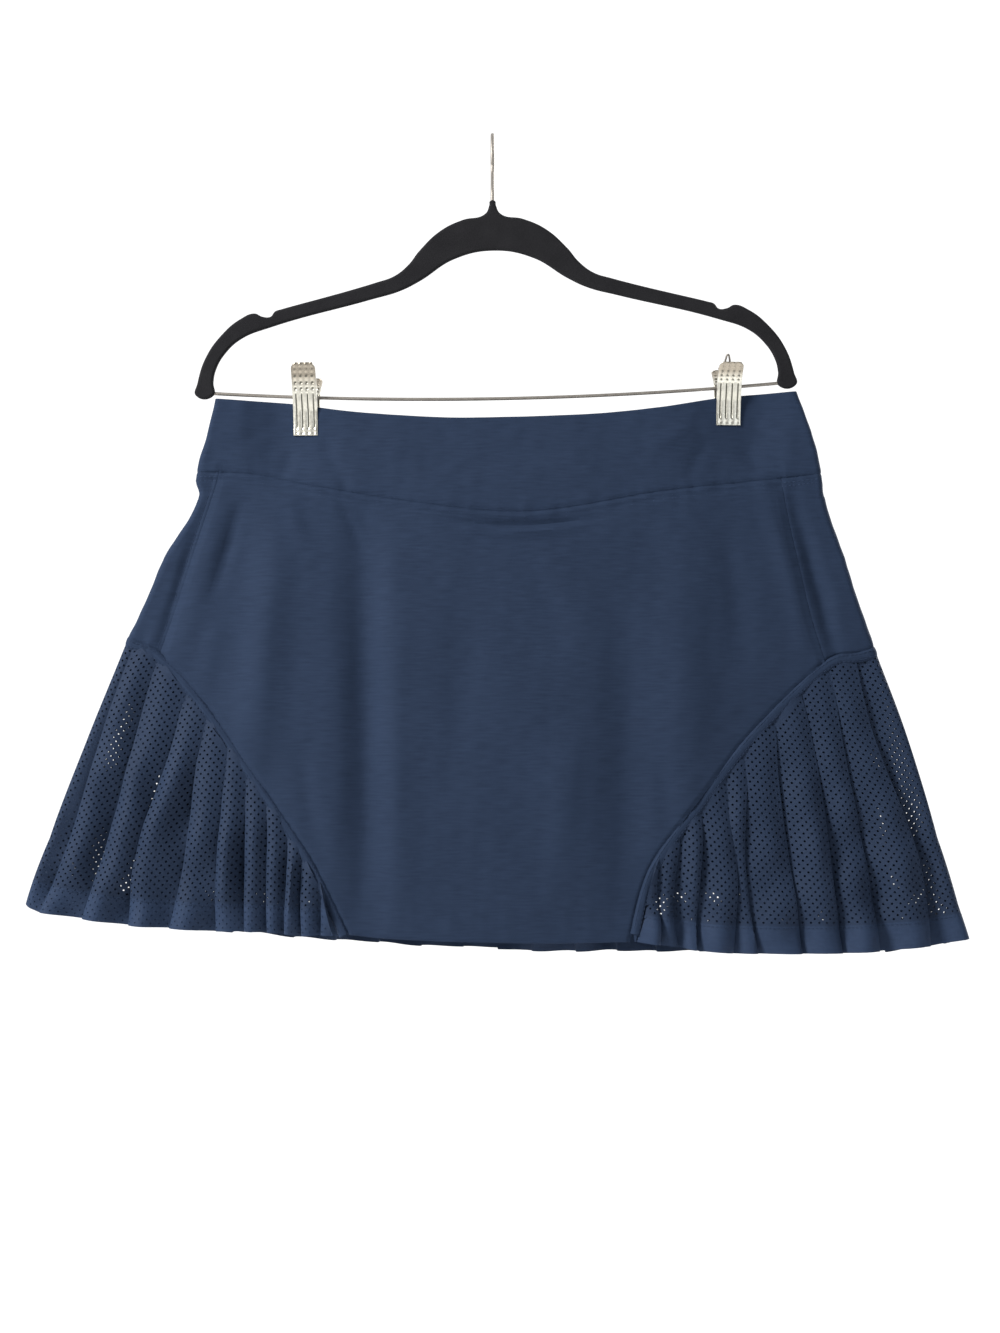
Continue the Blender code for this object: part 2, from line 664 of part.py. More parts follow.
def curve(name, points, cyclic, kind, material_name):
    """A curve object through points, with automatic handles when it is a Bezier."""
    data = bpy.data.curves.new(name, "CURVE")
    spline = data.splines.new(kind)
    if kind == "BEZIER":
        spline.bezier_points.add(len(points) - 1)
        for knot, place in zip(spline.bezier_points, points):
            knot.co = place
            knot.handle_left_type = knot.handle_right_type = "AUTO"
    else:
        spline.points.add(len(points) - 1)
        for knot, place in zip(spline.points, points):
            knot.co = (*place, 1)
    spline.use_cyclic_u = cyclic
    return data, add(name, data, material_name)


def tilted(obj):
    """Turns a hanger piece, modelled level, about the top of the neck."""
    neck = Vector((0, 0, NECK_Z))
    turn = Matrix.Rotation(-HANGER_TILT, 4, "Y")
    obj.matrix_world = Matrix.Translation(neck) @ turn @ obj.matrix_world


def hanger_body():
    half = HANGER_UPPER + HANGER_LOWER
    mirrored = [Corner(-c.x, c.drop) for c in reversed(half) if c.x > 0]
    outline = [(c.x * MM, -c.drop * MM, 0) for c in half + mirrored]
    data, obj = curve("hanger_body", outline, True, "BEZIER", "black_velvet")
    data.dimensions = "2D"
    data.fill_mode = "BOTH"
    data.resolution_u = 2
    edge = 1.0 * MM
    data.extrude = HANGER_THICK / 2 - edge
    data.bevel_depth = edge
    data.bevel_resolution = 0
    data.offset = -edge
    obj.rotation_euler.x = math.pi / 2
    bpy.context.view_layer.update()
    tilted(obj)


def bar_drop(x):
    """The bar's drop below the top of the neck, at x along the level hanger."""
    return BAR_DROP + BAR_SAG * (1 - (x / BAR_HALF_LENGTH) ** 2)


def hanger_bar():
    ends = -BAR_HALF_LENGTH, BAR_HALF_LENGTH
    points = [(x, 0, -bar_drop(x)) for x in np.linspace(*ends, 15)]
    data, obj = curve("hanger_bar", points, False, "POLY", "bright_steel")
    data.dimensions = "3D"
    data.bevel_depth = BAR_RADIUS
    data.bevel_resolution = 2
    data.use_fill_caps = True
    tilted(obj)


def hook_points():
    """The wire's centre line, in the plane across the hanger: up from the neck, out, over
    the rod and down to the tip."""
    radius = HOOK_INSIDE + HOOK_WIRE
    centre_z = -HOOK_INSIDE
    start = NECK_Z + GAP
    bend_top = centre_z - 3 * MM
    points = [Vector((0, 0, start)), Vector((0, 0, start + 4 * MM))]
    low = start + 4 * MM
    for share in (0.25, 0.5, 0.75):
        z = low + (bend_top - low) * share
        points.append(Vector((0, radius * 0.985 * ease(share, 0, 1), z)))
    for degrees in range(-10, 206, 12):
        angle = math.radians(degrees)
        points.append(Vector((0, radius * math.cos(angle), centre_z + radius * math.sin(angle))))
    return points


def hanger_hook():
    data, _ = curve("hanger_hook", hook_points(), False, "POLY", "bright_steel")
    data.dimensions = "3D"
    data.bevel_depth = HOOK_WIRE
    data.bevel_resolution = 2
    data.use_fill_caps = True


# A clip's plate, down from its finger tab to its jaw: height from the bar, how far its inner
# face stands off the middle, and how deep its side flanges are, all in millimetres.
Plate = namedtuple("Plate", "z off flange")
CLIP_PLATE = [
    Plate(24.5, 12.6, 0.5), Plate(22.5, 12.2, 0.9), Plate(12.0, 8.8, 1.4), Plate(3.0, 6.6, 2.4),
    Plate(-3.0, 5.6, 2.0), Plate(-10.0, 3.6, 0.6), Plate(-20.0, 2.6, 0.2), Plate(-28.0, 2.4, 0.2),
]


def clip(place):
    """Two jaws and a spring on the bar, turned about the upright."""
    centre = Vector((place.x, 0, -bar_drop(place.x)))
    centre = Matrix.Rotation(-HANGER_TILT, 4, "Y") @ centre
    frame = bpy.data.objects.new(place.name, None)
    bpy.data.collections["tennis_skort"].objects.link(frame)
    frame.location = (place.x, 0, NECK_Z + centre.z)
    frame.rotation_euler.z = place.yaw
    for piece in (
        clip_plate(f"{place.name}_front", FRONT, place.front_tab),
        clip_plate(f"{place.name}_back", BACK, place.back_tab),
        clip_spring(f"{place.name}_spring"),
    ):
        piece.parent = frame


def clip_plate(name, face, tab):
    """A folded steel plate: flat across, with a flange turned in along each side. The lower
    its finger tab reaches, the further it leans out."""
    half = CLIP_WIDTH / 2 - CLIP_SHEET
    rows = CLIP_PLATE[::-1]

    def point(column, row):
        place = [float(np.interp(row, range(len(rows)), values)) for values in zip(*rows)]
        height, off, flange = place
        shoulder, shoulder_off = CLIP_PLATE[3].z, CLIP_PLATE[3].off
        if height > shoulder:
            bent = (tab - shoulder) / (CLIP_PLATE[0].z - shoulder)
            height = shoulder + (height - shoulder) * bent
            off = shoulder_off + (off - shoulder_off) * (2 - bent)
        off -= flange * min(1, abs(column) - 1) if abs(column) > 1 else 0
        across = max(-1, min(1, column)) * half
        return Vector((across, face * off * MM, height * MM))

    across = [-2, -1, 0, 1, 2][:: -face]
    obj = panel(name, across, range(len(rows)), point, CLIP_SHEET, "bright_steel")
    obj.modifiers["Wall"].offset = 1
    return obj


def clip_spring(name):
    """The spring's coil round the bar, as the plain sleeve that it fills."""
    inside, outside, half = BAR_RADIUS + 1.1 * MM, 3.4 * MM, 5.5 * MM
    mesh = bpy.data.meshes.new(name)
    bm = bmesh.new()
    profile = [(-half, inside), (half, inside), (half, outside), (-half, outside)]
    verts = [bm.verts.new((x, 0, z)) for x, z in profile]
    for i in range(4):
        bm.edges.new((verts[i], verts[(i + 1) % 4]))
    bm.to_mesh(mesh)
    bm.free()
    obj = add(name, mesh, "bright_steel")
    turn = obj.modifiers.new("Turn", "SCREW")
    turn.axis = "X"
    turn.steps = turn.render_steps = 16
    turn.use_merge_vertices = True
    turn.merge_threshold = 0.01 * MM
    return obj


def main():
    for obj in list(bpy.data.objects):
        bpy.data.objects.remove(obj)
    collection = bpy.data.collections.new("tennis_skort")
    bpy.context.scene.collection.children.link(collection)

    waistband("waistband_front", FRONT)
    waistband("waistband_back", BACK)
    front_panel()
    back_panel()
    side_panel("side_panel_left", -1)
    side_panel("side_panel_right", 1)
    front_flounce("flounce_left", -1)
    front_flounce("flounce_right", 1)
    back_flounce("flounce_back_left", -1)
    back_flounce("flounce_back_right", 1)
    bindings()
    shorts_half("shorts_left", -1)
    shorts_half("shorts_right", 1)

    hanger_body()
    hanger_bar()
    hanger_hook()
    for place in CLIPS:
        clip(place)


main()
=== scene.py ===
"""Looks of the tennis skort on its clip hanger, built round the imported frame.

Metres, +Z up, front towards -Y, like the frame. The cloth follows the same flattened tube as
the frame's solids: a place on it is given by u, the distance round from the middle of the
front or back, and by drop, the height below the waist line at the side folds. Functions take
and give numpy arrays.
"""

import math
from collections import namedtuple
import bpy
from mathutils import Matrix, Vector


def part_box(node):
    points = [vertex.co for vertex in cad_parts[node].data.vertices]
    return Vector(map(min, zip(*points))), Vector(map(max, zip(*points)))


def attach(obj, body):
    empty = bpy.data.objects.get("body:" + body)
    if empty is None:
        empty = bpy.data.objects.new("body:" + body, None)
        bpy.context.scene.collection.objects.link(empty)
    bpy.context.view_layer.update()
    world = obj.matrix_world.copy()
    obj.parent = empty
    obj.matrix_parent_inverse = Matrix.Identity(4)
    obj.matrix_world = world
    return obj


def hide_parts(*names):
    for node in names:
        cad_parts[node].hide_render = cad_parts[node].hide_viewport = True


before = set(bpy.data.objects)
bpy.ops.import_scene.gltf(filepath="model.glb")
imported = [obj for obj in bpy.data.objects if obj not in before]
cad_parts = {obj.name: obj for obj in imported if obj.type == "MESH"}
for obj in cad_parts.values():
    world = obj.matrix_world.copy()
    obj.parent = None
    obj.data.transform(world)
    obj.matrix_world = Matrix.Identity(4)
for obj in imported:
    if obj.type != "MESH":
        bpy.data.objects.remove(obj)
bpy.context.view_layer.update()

from copy import copy

import bpy
import numpy as np
from mathutils import Matrix, Vector

MM = 0.001
FRONT, BACK = -1, 1
LEFT, RIGHT = -1, 1
JERSEY_SLOT, MESH_SLOT, STEEL_SLOT = "navy_jersey", "navy_mesh", "bright_steel"


def in_mm(columns, *rows):
    """A table given in millimetres, as a list of rows with named columns in metres."""
    return [columns(*(MM * value for value in row)) for row in rows]


# ---- lines ---------------------------------------------------------------------------
def smooth(values, at):
    """Catmull-Rom through values, which stand at 0, 1, 2 and so on, read at the numbers in at."""
    values = np.asarray(values, float)
    ends = (2 * values[0] - values[1], 2 * values[-1] - values[-2])
    v = np.concatenate([ends[:1], values, ends[1:]])
    at = np.clip(np.asarray(at, float), 0, len(values) - 1)
    i = np.minimum(at.astype(int), len(values) - 2)
    t = (at - i).reshape(at.shape + (1,) * (values.ndim - 1))
    a, b, c, d = v[i], v[i + 1], v[i + 2], v[i + 3]
    return 0.5 * (
        2 * b + (c - a) * t + (2 * a - 5 * b + 4 * c - d) * t**2 + (3 * b - a - 3 * c + d) * t**3
    )


class Line:
    """A smooth line through spots, each an x and a drop in millimetres. It is read either way:
    the drop at an x, or the x at a drop."""

    def __init__(self, *spots):
        steps = len(spots) - 1
        points = smooth(np.array(spots) * MM, np.linspace(0, steps, 12 * steps + 1))
        self.x, self.drop = points[:, 0], points[:, 1]

    def drop_at(self, x):
        order = np.argsort(self.x)
        return np.interp(x, self.x[order], self.drop[order])

    def x_at(self, drop):
        return np.interp(drop, self.drop, self.x)

    def beside(self, distance):
        """The line moved aside, towards greater drops."""
        across, down = np.gradient(self.x), np.gradient(self.drop)
        length = np.hypot(across, down)
        facing = math.copysign(1, self.x[-1] - self.x[0])
        moved = copy(self)
        moved.x = self.x - facing * distance * down / length
        moved.drop = self.drop + facing * distance * across / length
        return moved

    def along(self, share):
        """(x, drop) at a share of the way along the spots."""
        at = np.asarray(share) * (len(self.x) - 1)
        index = np.arange(len(self.x))
        return np.interp(at, index, self.x), np.interp(at, index, self.drop)

    def share_at_x(self, x):
        order = np.argsort(self.x)
        return float(np.interp(x, self.x[order], order)) / (len(self.x) - 1)

    def share_at_drop(self, drop):
        return float(np.interp(drop, self.drop, range(len(self.x)))) / (len(self.x) - 1)

    def near(self, x, drop):
        """The distance from the line, and how far along it the nearest place is."""
        best, place, walked = np.full(np.shape(x), np.inf), np.zeros(np.shape(x)), 0.0
        for x0, d0, x1, d1 in zip(self.x, self.drop, self.x[1:], self.drop[1:]):
            length = math.hypot(x1 - x0, d1 - d0)
            share = ((x - x0) * (x1 - x0) + (drop - d0) * (d1 - d0)) / length**2
            share = np.clip(share, 0, 1)
            distance = np.hypot(x - x0 - share * (x1 - x0), drop - d0 - share * (d1 - d0))
            place = np.where(distance < best, walked + share * length, place)
            best = np.minimum(best, distance)
            walked += length
        return best, place


# ---- the tube that the cloth follows, as in the frame -------------------------------
WAIST_Z = -190.5 * MM
PINCHED = 2.0 * MM  # half the thickness of the waistband between a clip's jaws
BINDING_WIDTH = 6.5 * MM

# The clips: their place and turn on the bar, and how high their finger tabs reach above it.
Clip = namedtuple("Clip", "name x yaw front_tab back_tab")
CLIPS = [
    Clip("clip_left", -136.5 * MM, math.radians(-9), 24.5 * MM, 15.5 * MM),
    Clip("clip_right", 172.5 * MM, math.radians(8), 17.0 * MM, 14.0 * MM),
]

Section = namedtuple("Section", "drop left right front back fold")
SECTIONS = in_mm(
    Section,
    (-6, -201.5, 222, 8, 8, 2.6),
    (30, -210, 235, 10, 10, 3.4),
    (60, -217.5, 241.5, 12.5, 12.5, 4.2),
    (75, -216.5, 244, 13.8, 13.8, 4.6),
    (118, -240.5, 259, 17.5, 18, 5),
    (177, -268, 278.5, 21.5, 22.5, 5.5),
    (250, -298, 306, 25, 26, 6.2),
    (323, -326, 327.5, 27.5, 29, 7),
    (374, -344.5, 343.5, 28.5, 30.5, 7.5),
    (410, -352, 355.5, 29, 31, 7.8),
)

TOP_EDGE = Line(
    (-206, 1.2), (-177.4, 3.2), (-145.3, 5.5), (-101.5, 11.4), (-38, 15.7), (6, 15.5), (73, 13),
    (123, 8), (160, 2), (182, -0.7), (223, -4),
)
BAND_SEAM = Line(
    (-225, 55), (-175.5, 57.3), (-139, 64.5), (-69, 76.4), (5.8, 85), (56, 81.8), (123, 70),
    (207, 60.6), (245, 56),
)
# Where the side seams end on the sweeping seams.
CORNERS = {LEFT: (-242.4, 189), RIGHT: (242.1, 195.2)}
SIDE_SEAMS = {
    LEFT: Line(
        (-198.5, 50), (-200.5, 62.8), (-211.5, 96), (-220.5, 124), (-231, 156), CORNERS[LEFT],
        (-246.5, 200),
    ),
    RIGHT: Line(
        (209, 50), (211.5, 69), (216.5, 95.5), (223.5, 127.1), (231, 160.1), CORNERS[RIGHT], (246, 208),
    ),
}
SWEEPS = {
    LEFT: Line(
        (-287, 165.5), (-265, 178), CORNERS[LEFT], (-209, 225.5), (-164, 289), (-130.7, 339),
        (-104.4, 392), (-99, 405),
    ),
    RIGHT: Line(
        (296, 179.5), (269, 187.5), CORNERS[RIGHT], (190.5, 244), (149.7, 294.6), (114.2, 344.6),
        (99.5, 396), (97.5, 408),
    ),
}
BACK_SEAM = Line(
    (-287, 165.5), (-265, 178), (-235, 190), (-195, 200), (-95, 215), (6, 221), (107, 216),
    (195, 206), (242.1, 195.2), (269, 187.5), (296, 179.5),
)
FRONT_HEM = Line((-110, 391.7), (-66, 395.7), (28, 398.4), (104, 397.4))
SIDE_HEMS = {
    LEFT: Line(
        (-352, 369), (-344.6, 372.3), (-315, 381), (-257, 386.9), (-213, 389.8), (-140, 393),
        (-100, 393.5),
    ),
    RIGHT: Line(
        (95, 397), (123, 399.3), (152, 403.7), (183, 405.9), (230, 407.5), (269, 406.6), (340, 401),
        (360, 394.5),
    ),
}
BACK_HEM = Line(
    (-352, 369), (-344.6, 372.3), (-257, 388), (-184, 394.5), (-120, 400.5), (-60, 405),
    (40, 408.8), (181, 408), (269, 406.6), (340, 401), (360, 394.5),
)

# Each knife pleat's front fold, from the seam to the hem, nearest the side first.
Pleat = namedtuple("Pleat", "seam_x hem_x")
FRONT_PLEATS = {
    LEFT: in_mm(
        Pleat,
        (-262.8, -332.2), (-245.3, -301.5), (-225.6, -267.2), (-210.2, -237.3), (-197.1, -203.7),
        (-182.5, -182.5), (-165.7, -165.7), (-150.4, -153), (-138.7, -140.2), (-125.6, -127),
    ),
    RIGHT: in_mm(
        Pleat,
        (266.5, 322.7), (247.5, 285.4), (224.8, 257.7), (207.3, 227.8), (188.3, 195.6), (170, 177.4),
        (151.8, 150.4), (137.2, 137.2), (122.6, 123.4),
    ),
}
BACK_PLEATS = 22  # evenly spaced
BACK_FOLDS = in_mm(Pleat, (-262, -333), (6, 4), (272, 338))  # the two outermost and the middle one

# Soft creases: from one end to the other, how far the middle bows aside, how wide and how
# high. A ridge rises above 0, a trough falls below.
Crease = namedtuple("Crease", "x0 drop0 x1 drop1 bow width rise")
FRONT_CREASES = in_mm(
    Crease,
    # the largest
    (-184, 74, -206, 150, 1, 4.2, -2.88),
    (-158, 72, -182, 300, 4, 15, 5.76),
    (-96, 70, -92, 400, 3, 15, -9.28),
    (-76, 110, -66, 400, -4, 14, 3.52),
    (92, 130, 96, 410, 4, 18, -4.48),
    (138, 80, 140, 330, 2, 18, 3.84),
    (196, 60, 232, 200, 2, 6.5, 2.08),
    (216, 62, 256, 215, 2, 6, -4.16),
    (-204, 60, -252, 215, -1, 4.5, -2.56),
    (-194, 60, -232, 205, 1, 11, 2.72),
    # short ones below the waistband
    (-114, 73, -97, 112, 1, 2.6, -1.44),
    (-46, 88, 92, 85, -7.5, 2.6, -3.36),
    (-30, 96, 70, 93, -6, 3, 2.4),
    (108, 80, 150, 98, 2, 4, -0.96),
    (-150, 70, -128, 128, -2, 6, 1.44),
    (20, 112, 52, 190, 3, 11, -1.6),
    (-20, 130, -34, 300, 4, 16, -2.24),
    (60, 230, 48, 380, -3, 13, 1.92),
    (168, 90, 182, 210, 3, 9, -1.92),
    (-196, 150, -214, 220, 1, 8, 1.6),
    (-140, 250, -122, 350, -2, 7, -1.6),
    (120, 260, 130, 330, 1, 7, -1.28),
    # the waistband, drawn in by the clips
    (-126, 30, -103, 78, 1, 5, -1.44),
    (-146, 36, -156, 62, 1, 5, -0.8),
    (-168, 20, -196, 40, 2, 7, -0.8),
    (-96, 30, -50, 50, 2, 7, 1.28),
    (160, 32, 138, 66, -1, 5, -0.96),
    (182, 30, 196, 58, 1, 6, -0.96),
    (150, 22, 112, 40, -1, 6, 1.28),
    (-20, 46, 60, 44, 2, 10, -1.28),
    (196, 20, 224, 34, 1, 5, 1.28),
)
BACK_CREASES = in_mm(
    Crease,
    (-120, 70, -150, 215, 4, 19, 4.48),
    (-40, 80, -50, 225, -3, 17, -5.12),
    (60, 75, 70, 225, 3, 19, 4.16),
    (150, 70, 178, 205, 3, 16, -4.48),
    (-90, 90, -82, 190, 2, 7, -1.92),
    (12, 96, 20, 210, 2, 9, -1.6),
    (110, 80, 118, 170, -2, 6, -1.92),
    (-184, 75, -204, 170, 2, 6, -2.24),
    (-60, 93, 50, 92, -6, 3, -1.6),
    (-128, 30, -106, 74, 1, 3.6, -2.08),
    (-148, 32, -164, 60, 1, 4, -1.6),
    (160, 30, 140, 64, -1, 4, -1.92),
    (184, 28, 200, 56, 1, 4, -1.44),
)

# ---- the inner shorts ----------------------------------------------------------------
SHORTS_MIDDLE = 8 * MM
SHORTS_SECTIONS = in_mm(
    Section,
    (55, -206, 225, 7.5, 8, 2.1),
    (75, -202, 224, 7, 8, 2.1),
    (120, -216, 230, 7.5, 8.5, 2.3),
    (200, -235, 249, 10, 11, 2.5),
    (350, -244, 260, 12, 12, 2.8),
)
CROTCH_DROP = 250 * MM
SHORTS_HEM = 362 * MM
LEG_DEPTH = 10.5 * MM
LEG_SPREAD = 6 * MM

# ---- the hanger ----------------------------------------------------------------------
HANGER_THICK = 5.6 * MM
HANGER_TILT = math.radians(1.05)
NECK_Z = -46 * MM
BAR_DROP = 138.5 * MM
BAR_SAG = 7.4 * MM
BAR_RADIUS = 1.25 * MM
BAR_HALF_LENGTH = 205 * MM
HOOK_WIRE = 1.4 * MM
HOOK_INSIDE = 17 * MM
CLIP_WIDTH = 18.6 * MM
CLIP_SHEET = 0.9 * MM

Corner = namedtuple("Corner", "x drop")  # of half the hanger's outline
HANGER_UPPER = in_mm(
    Corner,
    (1.9, 1), (2.4, 3.8), (5.6, 10.2), (22.3, 14.4), (38.5, 22), (54.4, 36.5), (62.5, 46.5),
    (73, 54.6), (86, 59), (156, 77.4), (161, 79), (164.5, 82.8), (170.5, 82.6), (176, 80.2),
    (186, 83.8), (200, 95), (212.5, 112), (219, 131), (220.3, 139.6),
)
HANGER_LOWER = in_mm(
    Corner,
    (207.4, 140), (207.2, 130), (205.2, 121), (198, 109), (186, 98.6), (166, 91), (90, 71.4),
    (69, 65.6), (54.4, 58.6), (29, 43), (0, 37.2),
)

# A clip's plate: its height above the bar, its stand-off and how deep its flange is there.
Plate = namedtuple("Plate", "z off flange")
CLIP_PLATE = in_mm(
    Plate,
    (24.5, 12.6, 0.5), (22.5, 12.2, 0.9), (12, 8.8, 1.4), (3, 6.6, 2.4), (-3, 5.6, 2),
    (-10, 3.6, 0.6), (-20, 2.6, 0.2), (-28, 2.4, 0.2),
)

Bend = namedtuple("Bend", "x z")
LOOP = in_mm(  # the right clip's wire loop
    Bend, (-5.0, 8), (-4.9, 13), (-4.5, 17), (-3.9, 20.5), (-3.2, 22.2), (-2.4, 22.2), (-1.6, 20.5),
    (-0.9, 17), (-0.2, 13), (0.2, 8),
)

RIB_PITCH = 4.3 * MM
RIB_COLUMNS = (np.arange(4) - 1.5) * RIB_PITCH
RIB_ENDS = (-23.6 * MM, 3.0 * MM)
DIMPLE_ROWS = np.array([6.2, 10.4, 14.6, 18.8, 22.6]) * MM  # above the bar
JAW_DIMPLES = -25.8 * MM  # the small row at the jaw's edge

# ---- cloth ---------------------------------------------------------------------------
JERSEY_WALL = 1.0 * MM
BAND_WALL = 1.6 * MM
TAPE_WALL = 0.8 * MM
MESH_WALL = 0.45 * MM
HOLE_PITCH = 5.7 * MM  # between the perforated cloth's holes along a row
HOLE_RADIUS = 0.86 * MM
HEM_HOLE_RADIUS = 0.60 * MM  # where the hem's turned-up layer fills them
HEM_BAND = 20 * MM
HEM_LIGHTER = 1.3  # the double hem's brightness beside the single cloth's
# The angles of a hole's corners: the holes at the back have fewer.
HOLE_ANGLES = {FRONT: (90, 30, -30, -90, -150, 150), BACK: (90, 0, -90, 180)}
# How each flounce is pleated: the flat cloth for each unit of its width, near the side and
# further in, how high its folds stand at the hem, how far a fold line strays, and whether
# the holes show through the hem's double cloth.
Pleating = namedtuple("Pleating", "side_fullness fullness low high stray hem_holes")
PLEATING = {
    "flounce_left": Pleating(2.1, 2.0, 10.5 * MM, 17.5 * MM, 3.8 * MM, True),
    "flounce_right": Pleating(2.0, 1.9, 6.5 * MM, 11.5 * MM, 5.2 * MM, False),
    "flounce_back_left": Pleating(2.5, 1.5, 8.0 * MM, 13.5 * MM, 2.2 * MM, False),
    "flounce_back_right": Pleating(2.5, 1.5, 8.0 * MM, 13.5 * MM, 2.2 * MM, False),
}
SIDE_PLEATS = 0.225  # beyond this x, a pleat has the side's fullness
ROLL = 0.86  # the share of a pleat's face over which it falls away from its fold
BULGE = 0.24  # where a face stands highest, as a share of it
TUCKED_FOLD = 0.62  # the height of the fold itself, as a share of that
END_FULLNESS = 1.12  # of the last face, which ends beside another cloth
SEAM_HEIGHTS = (1.5 * MM, 2.5 * MM)  # between which the folds stand out at the seam
SWELLS = (0.08, 0.30)  # how much a fold's height varies on its way
RUN_DEPTH = (2.4 * MM, 5.8 * MM)  # how far the pleats lie inside the tube, at the seam and hem
SOFT_PLEATS = 1.7 * MM  # the soft waves of a whole run
TAPE_SUNK, TAPE_CROWN = 0.60 * MM, 1.35 * MM  # the binding's edges, and its middle above them
WAVES = ((0.50 * MM, 75 * MM, 5), (0.13 * MM, 18 * MM, 6))  # (height, length, seed) in jersey
PUCKER, PUCKER_REACH = 0.26, 6 * MM  # a seam's puckers, as a share of its depth
STITCH, STITCH_GAP, THREAD_RADIUS = 2.5 * MM, 0.8 * MM, 0.22 * MM


# ---- the tube and its relief ---------------------------------------------------------
def section_at(table, drop):
    drops = [row.drop for row in table]
    rows = smooth(table, np.interp(drop, drops, range(len(drops))))
    return Section(*np.moveaxis(rows, -1, 0))


def ring(u, half, fold, front, back, face):
    """The offset across and the stand-off of a flattened ring at u, on that face. A u past
    the fold's middle carries on round to the other face."""
    side = np.where(u < 0, -1.0, 1.0)
    middle = half + fold * math.pi / 2
    past = np.abs(u) > middle
    face = np.where(past, -face, face)
    u = np.where(past, side * 2 * middle - u, u)
    turn = np.maximum(np.abs(u) - half, 0) / fold
    depth = np.where(face == FRONT, front, back)
    flat = fold + (depth - fold) * (1 - np.minimum(np.abs(u) / half, 1) ** 2) ** 1.5
    across = np.where(turn > 0, side * (half + fold * np.sin(turn)), u)
    return across, face * np.where(turn > 0, fold * np.cos(turn), flat)


def ease(value, start, end):
    t = np.clip((value - start) / (end - start), 0, 1)
    return t * t * (3 - 2 * t)


def near_clip(clip, x, drop):
    """1 between a clip's jaws, and 0 away from them."""
    return (1 - ease(drop, 0.030, 0.078)) * (1 - ease(np.abs(x - clip.x), 0.011, 0.050))


def pinch(x, drop):
    return np.maximum(*(near_clip(clip, x, drop) for clip in CLIPS))


def sway(x, drop):
    """How far the turned clips push the waist back from the middle plane."""
    return sum(math.tan(c.yaw) * (x - c.x) * near_clip(c, x, drop) for c in CLIPS)


def mid_fold(drop, side):
    """u at the middle of the left or right side fold."""
    row = section_at(SECTIONS, drop)
    half = (row.right - row.left) / 2 - row.fold
    return (row.left + row.right) / 2 + side * (half + row.fold * math.pi / 2)


def skin(u, drop, face):
    row = section_at(SECTIONS, drop)
    centre = (row.left + row.right) / 2
    half = (row.right - row.left) / 2 - row.fold
    across, off = ring(u - centre, half, row.fold, row.front, row.back, face)
    x = centre + across
    pinched = np.where(np.abs(across) < half, pinch(x, drop), 0)
    off = off + (np.copysign(PINCHED, off) - off) * pinched
    return np.stack([x, off + sway(x, drop), WAIST_Z - drop], -1)


def lifted(u, drop, face, out):
    """The tube's point moved out by out, along its normal."""
    step = 0.4 * MM
    around = skin(u + step, drop, face) - skin(u - step, drop, face)
    upward = skin(u, drop - step, face) - skin(u, drop + step, face)
    normal = np.cross(around, upward) * -face
    normal /= np.linalg.norm(normal, axis=-1, keepdims=True)
    return skin(u, drop, face) + normal * np.asarray(out)[..., None]


# ---- the cloth's relief --------------------------------------------------------------
def ripple(a, b, size, seed):
    """Soft uneven waves about 1 high and size long."""
    random = np.random.default_rng(seed)
    total = 0
    for _ in range(7):
        way, phase = random.uniform(0, math.tau, 2)
        pace = math.tau / size * random.uniform(0.6, 1.4)
        total = total + np.sin(pace * (a * math.cos(way) + b * math.sin(way)) + phase)
    return total / 2.6


def creased(table, x, drop):
    out = 0
    for c in table:
        across, down = c.x1 - c.x0, c.drop1 - c.drop0
        length = math.hypot(across, down)
        along = ((x - c.x0) * across + (drop - c.drop0) * down) / length**2
        aside = ((x - c.x0) * down - (drop - c.drop0) * across) / length
        aside = aside - c.bow * 4 * along * (1 - along)
        ends = np.sin(math.pi * np.clip(along, 0, 1)) ** 0.8
        out = out + c.rise * ends * np.exp(-((aside / c.width) ** 2))
    return out


BAND_STITCHES = (3.4 * MM, 6.0 * MM)  # below the waistband's seam
SIDE_STITCHES = 4.2 * MM  # beside a side seam, towards the middle
HEM_STITCHES = (17.0 * MM, 19.6 * MM)  # above the front hem


def grooves(face):
    """(line, depth, width) of what draws the cloth in on a face: its seams and stitches."""
    lower = [*SWEEPS.values()] if face == FRONT else [BACK_SEAM]
    found = [(BAND_SEAM, 1.35 * MM, 1.2 * MM)]
    found += [(line, 1.15 * MM, 1.4 * MM) for line in [*SIDE_SEAMS.values(), *lower]]
    found.append((BAND_SEAM.beside(sum(BAND_STITCHES) / 2), 0.70 * MM, 1.5 * MM))
    for side, seam in SIDE_SEAMS.items():
        found.append((seam.beside(side * SIDE_STITCHES), 0.30 * MM, 0.9 * MM))
    if face == FRONT:
        found.append((FRONT_HEM.beside(-sum(HEM_STITCHES) / 2), 0.35 * MM, 1.8 * MM))
    return found


GROOVES = {FRONT: grooves(FRONT), BACK: grooves(BACK)}


